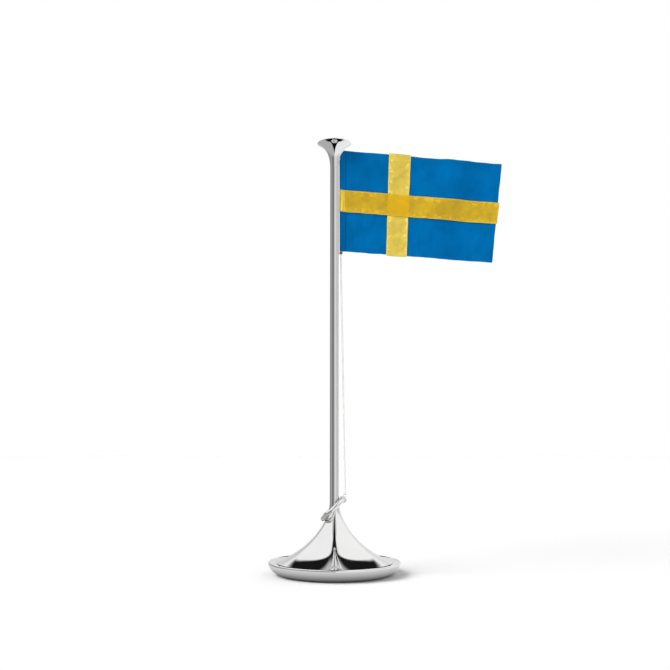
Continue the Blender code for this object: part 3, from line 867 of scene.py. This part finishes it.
def tube_along(points, radius, sides, cyclic=False):
    """A round tube of line along these points, converted to a mesh with closed ends."""
    deselect()
    bpy.ops.curve.primitive_bezier_curve_add()
    piece = bpy.context.object
    curve = piece.data
    curve.splines.clear()
    spline = curve.splines.new("POLY")
    spline.points.add(len(points) - 1)
    for point, place in zip(spline.points, points):
        point.co = (*place, 1.0)
    spline.use_cyclic_u = cyclic
    curve.bevel_depth = radius
    curve.bevel_resolution = sides // 2 - 2
    curve.use_fill_caps = not cyclic
    bpy.ops.object.convert(target="MESH")
    edit_all()
    close_edit()
    bpy.ops.object.shade_smooth()
    return bpy.context.object


def braided(piece, points, radius):
    """Presses the furrows of a braid into an upright tube. Half of its strands turn each way."""
    heights = [point.z for point in points]
    for vertex in piece.data.vertices:
        spot = vertex.co
        share = (heights[0] - spot.z) / (heights[0] - heights[-1])
        place = min(max(share, 0.0), 1.0) * (len(points) - 1)
        index = min(int(place), len(points) - 2)
        centre = points[index].lerp(points[index + 1], place - index)
        out = Vector((spot.x - centre.x, spot.y - centre.y, 0))
        if out.length < radius * 0.5:
            continue
        turn = math.atan2(out.y, out.x) * BRAID_STRANDS / 2
        climb = math.tau * spot.z / BRAID_PITCH * BRAID_STRANDS / 2
        furrow = (2 - abs(math.sin((turn + climb) / 2)) - abs(math.sin((turn - climb) / 2))) / 2
        vertex.co -= out * (BRAID_DEPTH * furrow)
    return piece


def upright_line(knots):
    """A braided line through these points, and the points and length of its middle."""
    points, total = route_through(knots, ROUTE_POINTS)
    steps = int(total / BRAID_STEP)
    fine, _ = route_through(knots, steps)
    piece = tube_along(fine, LINE_R, BRAID_SIDES)
    return braided(piece, fine, LINE_R), points, total


def halyard():
    """The line from the knot in the finial down through the flag's hem to the stop bead."""
    start = Vector((LINE_X, 0, LINE_HIGH.z))
    end = Vector((LINE_X, 0, LINE_LOW.z))
    return upright_line([start, start.lerp(end, 0.3), start.lerp(end, 0.7), end])


def halyard_tail():
    """The line from the stop bead down to the ring, drawn nearly straight by the ring's weight."""
    start = Vector((LINE_X, 0, TAIL_HIGH.z))
    end = Vector((TAIL_HIGH.x - LINE_R, 0, TAIL_LOW.z))
    knots = [start, start.lerp(end, TAIL_BOW_AT) - Vector((TAIL_BOW, 0, 0))]
    knots += [start.lerp(end, share) for share in (0.35, 0.65, 0.92)] + [end]
    return upright_line(knots)


def top_knot():
    """A small overhand stopper knot that sits in the finial's pocket."""
    middle = (KNOT_LOW + KNOT_HIGH) / 2
    points = []
    for i in range(KNOT_STEPS):
        turn = math.tau * i / KNOT_STEPS
        x = math.sin(turn) + 2 * math.sin(2 * turn)
        y = math.cos(turn) - 2 * math.cos(2 * turn)
        z = -math.sin(3 * turn)
        rise = z * KNOT_SIZE * KNOT_STRETCH
        points.append(Vector((middle.x + x * KNOT_SIZE, y * KNOT_SIZE, middle.z + rise)))
    return tube_along(points, KNOT_STRAND_R, KNOT_SIDES, cyclic=True)


def ring_facts():
    """The weight ring's middle, slope and radius, worked out from the CAD ring's box."""
    middle = (RING_LOW + RING_HIGH) / 2
    wide = (RING_HIGH.x - RING_LOW.x) / 2 - WIRE_R
    tall = (RING_HIGH.z - RING_LOW.z) / 2 - WIRE_R
    return middle, math.atan2(tall, wide), math.hypot(tall, wide)


def hitch_loop():
    """The line's end, passed round the ring's wire and whipped to itself."""
    middle, slope, radius = ring_facts()
    wire = middle + Vector((math.cos(slope), 0, math.sin(slope))) * radius
    deselect()
    inner = WIRE_R + HITCH_CLEARANCE
    bpy.ops.mesh.primitive_torus_add(
        major_segments=HITCH_SEGMENTS,
        minor_segments=HITCH_SIDES,
        major_radius=inner + LINE_R,
        minor_radius=LINE_R,
        rotation=(math.pi / 2, 0, 0),
    )
    loop = bpy.context.object
    bpy.ops.object.transform_apply(location=True, rotation=True, scale=True)
    for vertex in loop.data.vertices:
        spot = vertex.co
        turn = math.atan2(spot.z, spot.x)
        share = (1 + math.cos(turn)) / 2
        half = HITCH_THIN / 2 + (LINE_R - HITCH_THIN / 2) * share
        reach = math.hypot(spot.x, spot.z) - (inner + LINE_R)
        strands = math.sin(turn * HITCH_LAYS + math.atan2(spot.y, reach) * 2)
        lay = 1 - HITCH_LAY_DEPTH * (1 + strands)
        squeezed = inner + half + reach * half / LINE_R * lay
        spot.x = squeezed * math.cos(turn)
        spot.z = squeezed * math.sin(turn)
        spot.y *= lay
        vertex.co += wire
    bpy.ops.object.shade_smooth()
    return loop


def whipping():
    """A few turns of thread that close the loop round the line's end."""
    low = TAIL_LOW.z + WHIPPING_THREAD
    centre = Vector((TAIL_HIGH.x - LINE_R, 0, low))
    steps = WHIPPING_TURNS * WHIPPING_STEPS
    radius = LINE_R + WHIPPING_THREAD / WHIPPING_SINK
    points = []
    for i in range(steps + 1):
        turn = math.tau * WHIPPING_TURNS * i / steps
        around = Vector((math.cos(turn), math.sin(turn), 0)) * radius
        climb = WHIPPING_THREAD * WHIPPING_PITCH * turn / math.tau
        points.append(centre + around + Vector((0, 0, climb)))
    return tube_along(points, WHIPPING_THREAD, WHIPPING_SIDES)


def weight_ring():
    """A round-wire ring whose ends meet in a fine groove at its lower side."""
    middle, slope, radius = ring_facts()
    deselect()
    bpy.ops.mesh.primitive_torus_add(
        major_segments=RING_SEGMENTS,
        minor_segments=WIRE_SEGMENTS,
        major_radius=radius,
        minor_radius=WIRE_R,
    )
    ring = bpy.context.object
    bpy.ops.object.mode_set(mode="EDIT")
    bpy.ops.mesh.select_all(action="DESELECT")
    bpy.ops.object.mode_set(mode="OBJECT")
    groove = math.pi / RING_SEGMENTS
    for vertex in ring.data.vertices:
        vertex.select = abs(math.atan2(vertex.co.x, -vertex.co.y) - BUTT_AT) < groove
    bpy.ops.object.mode_set(mode="EDIT")
    place = Vector((math.sin(BUTT_AT), -math.cos(BUTT_AT), 0)) * radius
    bpy.ops.transform.resize(value=(BUTT_GROOVE,) * 3, center_override=place)
    bpy.ops.object.mode_set(mode="OBJECT")
    ring.rotation_euler = (0, -slope, 0)
    ring.location = middle
    bpy.ops.object.transform_apply(location=True, rotation=True, scale=True)
    bpy.ops.object.shade_smooth()
    return ring


# ---- flag ----------------------------------------------------------------------------------------------


def crinkle(along, down, size, seed):
    """A smooth random height from -1 to 1. Each seed has its own pattern."""
    return noise.noise(Vector((along / size, down / size, seed)))


def hung(flag, along, down, layer):
    """Where a spot of the flat cloth hangs: along from the line, down from the top edge, and layer towards
    the back."""
    share = along / flag.length
    lean = down * math.sin(flag.fly_lean) * share
    x = LINE_X + (along * math.cos(flag.droop) - lean) * TAKE_UP
    fall = down * math.cos(flag.droop) * TAKE_UP * (1 - FLY_TAKE_UP * share)
    z = FLAG_TOP - along * math.sin(flag.droop) - fall
    free = min(1.0, max(0.0, share * 2))
    ripple = math.sin(math.tau * (along + RIPPLE_SLANT * down) / flag.ripple_length)
    depth = flag.ripple_depth * free * ripple
    depth += SWELL_DEPTH * free * crinkle(along, down * SWELL_STRETCH, SWELL_SIZE, seed=3.0)
    crumpled = flag.crinkle_depth * min(1.0, CRINKLE_ONSET * free)
    depth += crumpled * crinkle(along, down, CRINKLE_SIZE, seed=11.0)
    edge_x = EDGE_WAVER * crinkle(along, down, EDGE_WAVER_SIZE, seed=21.0) * free
    edge_z = EDGE_WAVER * crinkle(along, down, EDGE_WAVER_SIZE, seed=31.0)
    return Vector((x + edge_x, depth + layer, z + edge_z))


def corner_tuck(along):
    """How far the top edge dips near the line, where the cloth passes under the finial's flare."""
    reach = LINE_X + along - FLARE_CLEARANCE
    flare = finial_flare(bpy.context.scene.flag_stand_sizes)
    for (wide, high), (narrow, low) in zip(flare, flare[1:]):
        if reach >= narrow:
            share = max(0.0, (wide - reach) / max(wide - narrow, MERGE))
            return min(CORNER_DROP, max(0.0, FLAG_TOP - high + (high - low) * share))
    return CORNER_DROP


def flat_cloth(across, down):
    """A flat grid cut to these ranges, with its own map in metres."""
    deselect()
    width = across[1] - across[0]
    drop = down[1] - down[0]
    columns = max(CLOTH_CELLS, round(width / CLOTH_CELL))
    rows = max(CLOTH_CELLS, round(drop / CLOTH_CELL))
    middle = (sum(across) / 2, sum(down) / 2, 0)
    bpy.ops.mesh.primitive_grid_add(x_subdivisions=columns, y_subdivisions=rows, size=1)
    edit_all()
    bpy.ops.transform.resize(value=(width, drop, 1))
    bpy.ops.transform.translate(value=middle)
    bpy.ops.object.mode_set(mode="OBJECT")
    piece = bpy.context.object
    for spot in piece.data.uv_layers.active.data:
        spot.uv = (across[0] + spot.uv[0] * width, down[0] + spot.uv[1] * drop)
    return piece


def thickened(piece):
    """Gives the cloth its thickness, half to each side, and smooths it."""
    wall = piece.modifiers.new("Thickness", "SOLIDIFY")
    wall.thickness = CLOTH_T
    wall.offset = 0.0
    deselect()
    piece.select_set(True)
    bpy.context.view_layer.objects.active = piece
    bpy.ops.object.modifier_apply(modifier=wall.name)
    edit_all()
    bpy.ops.mesh.normals_make_consistent(inside=False)
    bpy.ops.object.mode_set(mode="OBJECT")
    bpy.ops.object.shade_smooth_by_angle(angle=CLOTH_SMOOTH_ANGLE)
    return piece


def panel(flag, across, down):
    """One blue panel, hung and tucked under the flare if it reaches the upper hoist corner."""
    piece = flat_cloth(across, down)
    for vertex in piece.data.vertices:
        along, fall = vertex.co.x, vertex.co.y
        top = max(down[0], corner_tuck(along)) if down[0] < CORNER_DROP else down[0]
        fall = top + (fall - down[0]) * (down[1] - top) / (down[1] - down[0])
        vertex.co = hung(flag, along, fall, 0.0)
    return thickened(piece)


def upright_ribbon(flag):
    """The upright ribbon, slightly puckered, behind the level one."""
    start = flag.upright_start
    end = start + flag.upright_width
    piece = flat_cloth((start, end), (-RIBBON_STICKS_OUT, flag.height + RIBBON_STICKS_OUT))
    for vertex in piece.data.vertices:
        along, fall = vertex.co.x, vertex.co.y
        pucker = crinkle(along * PUCKER_STRETCH, fall, UPRIGHT_PUCKER_SIZE, seed=41.0)
        layer = UPRIGHT_LAYER + flag.crinkle_depth * UPRIGHT_PUCKER * pucker
        vertex.co = hung(flag, along, fall, layer)
    return thickened(piece)


def wrapped(run, radius, rest, tail):
    """Along and layer of cloth that is folded round the line. Run is 0 at the fold and grows towards the
    front."""
    turn = radius * math.pi / 2
    if abs(run) < turn:
        return -radius * math.cos(run / radius), -radius * math.sin(run / radius)
    past = abs(run) - turn
    share = min(1.0, past / tail)
    gap = rest + (radius - rest) * (1 - share * share * (3 - 2 * share))
    return past, -math.copysign(gap, run)


def level_ribbon(flag):
    """The level ribbon, whose hoist end is folded round the hem."""
    turn = RIBBON_FOLD_R * math.pi / 2
    runs = (-turn - RIBBON_TAIL, turn + flag.length + RIBBON_STICKS_OUT)
    piece = flat_cloth(runs, (flag.level_start, flag.level_start + flag.level_width))
    for vertex in piece.data.vertices:
        along, layer = wrapped(vertex.co.x, RIBBON_FOLD_R, LEVEL_LAYER, RIBBON_TAIL)
        fall = vertex.co.y
        pucker = crinkle(along, fall * PUCKER_STRETCH, LEVEL_PUCKER_SIZE, seed=51.0)
        loose = min(1.0, max(0.0, along / RIBBON_TAIL))
        vertex.co = hung(flag, along, fall, layer + flag.crinkle_depth * LEVEL_PUCKER * pucker * loose)
    return thickened(piece)


def hem(flag):
    """The hem: a strip folded round the line and sewn to the panels."""
    turn = SLEEVE_FOLD_R * math.pi / 2 + SLEEVE_TAIL
    piece = flat_cloth((-turn, turn), (0.0, flag.height))
    for vertex in piece.data.vertices:
        along, layer = wrapped(vertex.co.x, SLEEVE_FOLD_R, SLEEVE_REST, SLEEVE_TAIL)
        top = corner_tuck(along)
        fall = top + vertex.co.y * (flag.height - top) / flag.height
        vertex.co = hung(flag, along, fall, layer)
    return thickened(piece)


# ---- operators -----------------------------------------------------------------------------------------


class BuildStage(bpy.types.Operator):
    """Sets up the camera, the pale floor and backdrop, and the soft studio light"""

    bl_idname = "flag_stand.stage"
    bl_label = "Stage"

    def execute(self, context):
        aim_camera(context.scene)
        lay_floor()
        light_studio(context.scene)
        return {"FINISHED"}


class BuildCords(bpy.types.Operator):
    """Braids the white line: its upper part through the hem, and its tail down to the ring"""

    bl_idname = "flag_stand.cords"
    bl_label = "Line"

    def execute(self, context):
        finish = material_of("braided_cotton", white_line)
        piece, points, total = halyard()
        dress(piece, "line_upper", finish, "stand", "white_line", "halyard")
        self.record(piece, points, total)
        piece, points, total = halyard_tail()
        dress(piece, "line_tail", finish, "line_end", "white_line", "halyard_tail")
        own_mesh(piece)
        self.record(piece, points, total)
        return {"FINISHED"}

    def record(self, piece, points, total):
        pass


class BuildTurned(bpy.types.Operator):
    """Turns the pad, the saucer foot, the trumpet cone, the pole and the finial"""

    bl_idname = "flag_stand.turned"
    bl_label = "Turned pieces"

    def execute(self, context):
        sizes = context.scene.flag_stand_sizes
        steel = material_of("mirror_steel", polished_steel)
        dress(foot_pad(sizes), "pad", pad_rubber(), "stand", "pad_rubber", "foot_pad")
        dress(base_dish(sizes), "saucer_foot", steel, "stand", "polished_steel", "base_dish")
        dress(base_cone(sizes), "trumpet_cone", steel, "stand", "polished_steel", "base_cone")
        dress(pole_tube(sizes), "pole", steel, "stand", "polished_steel", "pole_tube")
        dress(finial(sizes), "flared_finial", steel, "stand", "polished_steel", "finial")
        return {"FINISHED"}


class BuildKnots(bpy.types.Operator):
    """Ties the stopper knot in the finial and the loop on the ring, and threads the stop bead"""

    bl_idname = "flag_stand.knots"
    bl_label = "Knots and bead"

    def execute(self, context):
        finish = material_of("braided_cotton", white_line)
        dress(top_knot(), "stopper_knot", finish, "stand", "white_line", "top_knot")
        dress(hitch_loop(), "ring_loop", finish, "line_end", "white_line", "ring_hitch")
        dress(whipping(), "loop_whipping", finish, "line_end", "white_line", "ring_hitch")
        dress(stop_bead(), "stop_bead", browned_bead(), "flag", "brown_bead", "lower_stop")
        return {"FINISHED"}


class BuildRing(bpy.types.Operator):
    """Bends the round-wire ring that weighs the line down"""

    bl_idname = "flag_stand.ring"
    bl_label = "Weight ring"

    def execute(self, context):
        steel = material_of("mirror_steel", polished_steel)
        dress(weight_ring(), "wire_ring", steel, "ring", "polished_steel", "weight_ring")
        return {"FINISHED"}


class BuildFlag(bpy.types.Operator):
    """Cuts the panels, ribbons and hem of the flag and hangs them in place"""

    bl_idname = "flag_stand.flag"
    bl_label = "Flag"

    def execute(self, context):
        flag = context.scene.flag_sizes
        blue = material_of("blue_bunting", blue_cloth)
        upright_end = flag.upright_start + flag.upright_width
        level_end = flag.level_start + flag.level_width
        columns = {
            "hoist": (PANEL_START, flag.upright_start + SEAM_ALLOWANCE),
            "fly": (upright_end - SEAM_ALLOWANCE, flag.length),
        }
        rows = {
            "upper": (0.0, flag.level_start + SEAM_ALLOWANCE),
            "lower": (level_end - SEAM_ALLOWANCE, flag.height),
        }
        for row, down in rows.items():
            for column, across in columns.items():
                piece = panel(flag, across, down)
                node = f"panel_{row}_{column}"
                dress(piece, f"cloth_{row}_{column}", blue, "flag", "blue_cloth", node)
        self.sew_ribbons(flag)
        piece = dress(hem(flag), "cloth_hem", blue, "flag", "blue_cloth", "hoist_sleeve")
        return {"FINISHED"}

    def sew_ribbons(self, flag):
        edges = (flag.upright_start, flag.upright_start + flag.upright_width)
        gold = ribbon_cloth("upright_ribbon", finishes().gold, edges, runs_down=True)
        piece = upright_ribbon(flag)
        dress(piece, "ribbon_upright", gold, "flag", "yellow_ribbon", "upright_band")
        turn = RIBBON_FOLD_R * math.pi / 2
        crossed = (edges[0] + turn, edges[1] + turn)
        edges = (flag.level_start, flag.level_start + flag.level_width)
        gold = ribbon_cloth("level_ribbon", finishes().level_gold, edges, runs_down=False, crossing=crossed)
        piece = level_ribbon(flag)
        dress(piece, "ribbon_level", gold, "flag", "yellow_ribbon", "cross_band")


class DressHardware(bpy.types.Operator):
    """Gives the ballast, the tie rod, its nut and washer, the plugs and the stud their finishes"""

    bl_idname = "flag_stand.hardware"
    bl_label = "Hidden hardware"

    def execute(self, context):
        zinc = zinc_plate()
        iron = cast_iron()
        for name in ("tie_rod", "tie_nut", "tie_washer", "lower_insert", "upper_insert", "finial_stud"):
            self.coat(name, zinc, "zinc_plate")
        self.coat("ballast_ring", iron, "cast_iron")
        return {"FINISHED"}

    def coat(self, name, material, slot):
        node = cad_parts[name]
        node.data.materials.clear()
        node.data.materials.append(material)


# ---- stage ---------------------------------------------------------------------------------------------


def aim_camera(scene):
    bpy.ops.object.camera_add(location=CAMERA_PLACE, rotation=(math.pi / 2 + CAMERA_PITCH, 0, 0))
    camera = bpy.context.object
    camera.name = "camera"
    camera.data.lens = CAMERA_LENS
    camera.data.sensor_width = CAMERA_SENSOR
    camera.data.clip_start, camera.data.clip_end = CAMERA_CLIP
    scene.camera = camera
    scene.view_settings.view_transform = "Standard"
    scene.view_settings.look = "None"


def glowing(name, shade):
    """A material that gives off a shade of its own, which shade(tree) works out."""
    material, tree = new_material(name)
    shader = tree.add("ShaderNodeEmission", {}, {"Color": shade(tree), "Strength": 1.0})
    tree.add("ShaderNodeOutputMaterial", {}, {"Surface": shader})
    return material


def pale_floor():
    material, tree = new_material("pale_floor")
    grey = (FLOOR_TONE, FLOOR_TONE, FLOOR_TONE, 1.0)
    close_material(tree, Base_Color=grey, Roughness=0.9, Specular_IOR_Level=0.1)
    return material


def mirrored_shade(tree):
    """A painted reflection of the floor for the steel: pale further out, and the foot's shadow painted dark.
    """
    x, y, _ = coordinates(tree).parts()
    square = x * x + y * y
    out = square.math("SQRT", square)
    pale = MIRRORED_RISE * out.smooth(*MIRRORED_SHADOW) + MIRRORED_REST * out.smooth(*MIRRORED_FADE)
    return pale + MIRRORED_DARK


def hide_from(piece, *rays):
    """Keeps a piece of the stage out of these kinds of rays."""
    for ray in rays:
        setattr(piece, f"visible_{ray}", False)


def lay_floor():
    """A wide pale floor, a glowing disc with a painted reflection that only the steel mirrors, and a white
    backdrop.
    """
    deselect()
    disc = {"vertices": FLOOR_SIDES, "fill_type": "NGON"}
    bpy.ops.mesh.primitive_circle_add(radius=FLOOR_R, **disc)
    floor = bpy.context.object
    bpy.ops.mesh.primitive_circle_add(radius=MIRRORED_R, location=(0, 0, MIRRORED_LIFT), **disc)
    mirrored = bpy.context.object
    rings = BACKDROP_SEGMENTS // 2
    bpy.ops.mesh.primitive_uv_sphere_add(segments=BACKDROP_SEGMENTS, ring_count=rings, radius=BACKDROP_R)
    backdrop = bpy.context.object
    for piece, name in ((floor, "floor"), (mirrored, "painted_floor_reflection"), (backdrop, "backdrop")):
        piece.name = name
    floor.data.materials.append(pale_floor())
    hide_from(floor, "glossy")
    # the disc glows with the painted floor reflection and the foot's painted shadow
    mirrored.data.materials.append(glowing("painted_floor_reflection", mirrored_shade))
    hide_from(mirrored, "camera", "diffuse", "transmission", "volume_scatter", "shadow")
    backdrop.data.materials.append(glowing("white_backdrop", lambda tree: WHITE))
    hide_from(backdrop, "diffuse", "glossy", "transmission", "volume_scatter", "shadow")


def key_light():
    """One broad, even light from high on the left, which the steel doesn't mirror."""
    bpy.ops.object.light_add(type="SUN", location=KEY_FROM)
    light = bpy.context.object
    light.name = "key"
    light.data.energy = KEY_STRENGTH
    light.data.angle = KEY_SPREAD
    light.rotation_mode = "QUATERNION"
    light.rotation_quaternion = (-Vector(KEY_FROM)).to_track_quat("-Z", "Y")
    light.visible_glossy = False


# How bright the room is at eye level, from behind the stand round by the left, the front and the right.
ROOM_LEVEL = (
    (0.000, 0.80),
    (0.120, 0.45),
    (0.180, 0.28),
    (0.283, 0.42),
    (0.345, 0.30),
    (0.375, 0.20),
    (0.440, 0.20),
    (0.478, 0.45),
    (0.505, 0.66),
    (0.578, 0.88),
    (0.650, 0.68),
    (0.733, 0.62),
    (0.800, 0.80),
    (0.844, 0.94),
    (1.000, 0.80),
)

# The rest of the room. X, y and z point right, to the back and up, and each pair is where a soft step starts
# and ends.
BANKS_Z = (0.30, 0.48)        # where the room at eye level goes over into the banks
BANK_LIGHT = 1.05             # of each bank, overhead
BANK_SLOPE = 0.02             # the right bank is this much brighter than the middle
UNDER_Z = (0.06, 0.30)        # below eye level
UNDER_X = (-0.03, 0.03)
UNDER_LEFT = 0.50             # the left half's light, of the right half's
WEDGE_SLOPE = 0.42            # the dark wedge down the middle widens this much as it goes down
WEDGE_TIP = 0.36              # how far below eye level it starts
WEDGE_BACK = 0.14             # and how much wider it is at the back
WEDGE_BACK_Y = (0.0, 0.25)
WEDGE_EDGE = (-0.03, 0.08)
GAP_DARK = 0.99               # share of the light that the gap takes away
GAP_HALF = 0.078              # half its width at the front
GAP_BACK = 0.235              # how much wider the gap between the banks is at the back
GAP_BACK_Y = (0.15, 0.70)
GAP_LOW = 0.42                # height at which it starts
GAP_FRONT_DROP = 0.17         # how much lower it starts at the front
GAP_FRONT_Y = (0.0, 0.30)
GAP_EDGE = (-0.02, 0.03)
GAP_END = (0.0, 0.12)
STRIP_LIGHT = 0.55            # of the narrow strip light inside the gap
STRIP_HALF = 0.05             # half its width, to where it starts to fade
STRIP_EDGE = (0.0, 0.05)
STRIP_Y = (0.25, 0.55)
FRONT_DARK = 0.55             # share of the banks' light that is missing over the front
FRONT_SPREAD = 0.45           # how fast the dark front widens towards the front
FRONT_EDGE = (-0.06, 0.06)
FRONT_Y = (0.15, 0.35)


def gap_between_banks(side, y, z):
    """1 in the dark gap over the stand, which is wider at the back and reaches lower at the front."""
    half = GAP_HALF + GAP_BACK * y.smooth(*GAP_BACK_Y)
    low = GAP_LOW - GAP_FRONT_DROP * (0 - y).smooth(*GAP_FRONT_Y)
    return (1 - (side - half).smooth(*GAP_EDGE)) * (z - low).smooth(*GAP_END)


def below_eye_level(x, side, y, z):
    """Dimmer on the left, with a dark wedge down the middle."""
    wedge = WEDGE_SLOPE * ((0 - z) - WEDGE_TIP) + WEDGE_BACK * y.smooth(*WEDGE_BACK_Y)
    sides = x.smooth(*UNDER_X) * (1 - UNDER_LEFT) + UNDER_LEFT
    return sides * (side - wedge).smooth(*WEDGE_EDGE)


def light_studio(scene):
    """Two banks of soft light that meet over the stand with a dark gap between them, and the key light."""
    key_light()
    world = bpy.data.worlds.new("studio")
    scene.world = world
    world.use_nodes = True
    world.node_tree.nodes.clear()
    tree = Wire(world.node_tree)
    x, y, z = tree.add("ShaderNodeTexCoord", {}, {}, "Generated").parts()
    round_about = x.math("ARCTAN2", x, 0 - y) * (1 / math.tau) + 0.5
    level = tree.add("ShaderNodeValToRGB", {"stops": ROOM_LEVEL}, {0: round_about})
    level = tree.add("ShaderNodeRGBToBW", {}, {0: level})
    side = abs(x)
    high = z.smooth(*BANKS_Z)
    low = (0 - z).smooth(*UNDER_Z)
    gap = gap_between_banks(side, y, z)
    strip = STRIP_LIGHT * y.smooth(*STRIP_Y) * (1 - (side - STRIP_HALF).smooth(*STRIP_EDGE))
    front = (1 - (side + FRONT_SPREAD * y).smooth(*FRONT_EDGE)) * (0 - y).smooth(*FRONT_Y)
    banks = (BANK_LIGHT + BANK_SLOPE * x) * high
    light = level * (1 - high) * (1 - low) + banks + below_eye_level(x, side, y, z) * low
    light = light * (1 - GAP_DARK * gap) + strip * gap
    light = light * (1 - FRONT_DARK * (front * high))
    shader = tree.add("ShaderNodeBackground", {}, {"Color": WHITE, "Strength": light})
    tree.add("ShaderNodeOutputWorld", {}, {"Surface": shader})


# ---- add-on --------------------------------------------------------------------------------------------

BUILD_ORDER = (BuildStage, BuildCords, BuildTurned, BuildKnots, BuildRing, BuildFlag, DressHardware)


class FlagStandPanel(bpy.types.Panel):
    bl_idname = "VIEW3D_PT_flag_stand"
    bl_label = "Desk Flag Stand"
    bl_space_type = "VIEW_3D"
    bl_region_type = "UI"
    bl_category = "Flag Stand"

    def draw(self, context):
        for group in ("flag_stand_sizes", "flag_sizes", "flag_finishes"):
            settings = getattr(context.scene, group)
            box = self.layout.box()
            for name in settings.__annotations__:
                box.prop(settings, name)
        for operator in BUILD_ORDER:
            self.layout.operator(operator.bl_idname)


CLASSES = (StandSizes, FlagSizes, Finishes, *BUILD_ORDER, FlagStandPanel)


def register():
    for cls in CLASSES:
        bpy.utils.register_class(cls)
    bpy.types.Scene.flag_stand_sizes = PointerProperty(type=StandSizes)
    bpy.types.Scene.flag_sizes = PointerProperty(type=FlagSizes)
    bpy.types.Scene.flag_finishes = PointerProperty(type=Finishes)


def unregister():
    del bpy.types.Scene.flag_finishes
    del bpy.types.Scene.flag_sizes
    del bpy.types.Scene.flag_stand_sizes
    for cls in reversed(CLASSES):
        bpy.utils.unregister_class(cls)


def main():
    register()
    bpy.ops.flag_stand.stage()
    bpy.ops.flag_stand.cords()
    bpy.ops.flag_stand.turned()
    bpy.ops.flag_stand.knots()
    bpy.ops.flag_stand.ring()
    bpy.ops.flag_stand.flag()
    bpy.ops.flag_stand.hardware()


if __name__ == "__main__":
    main()
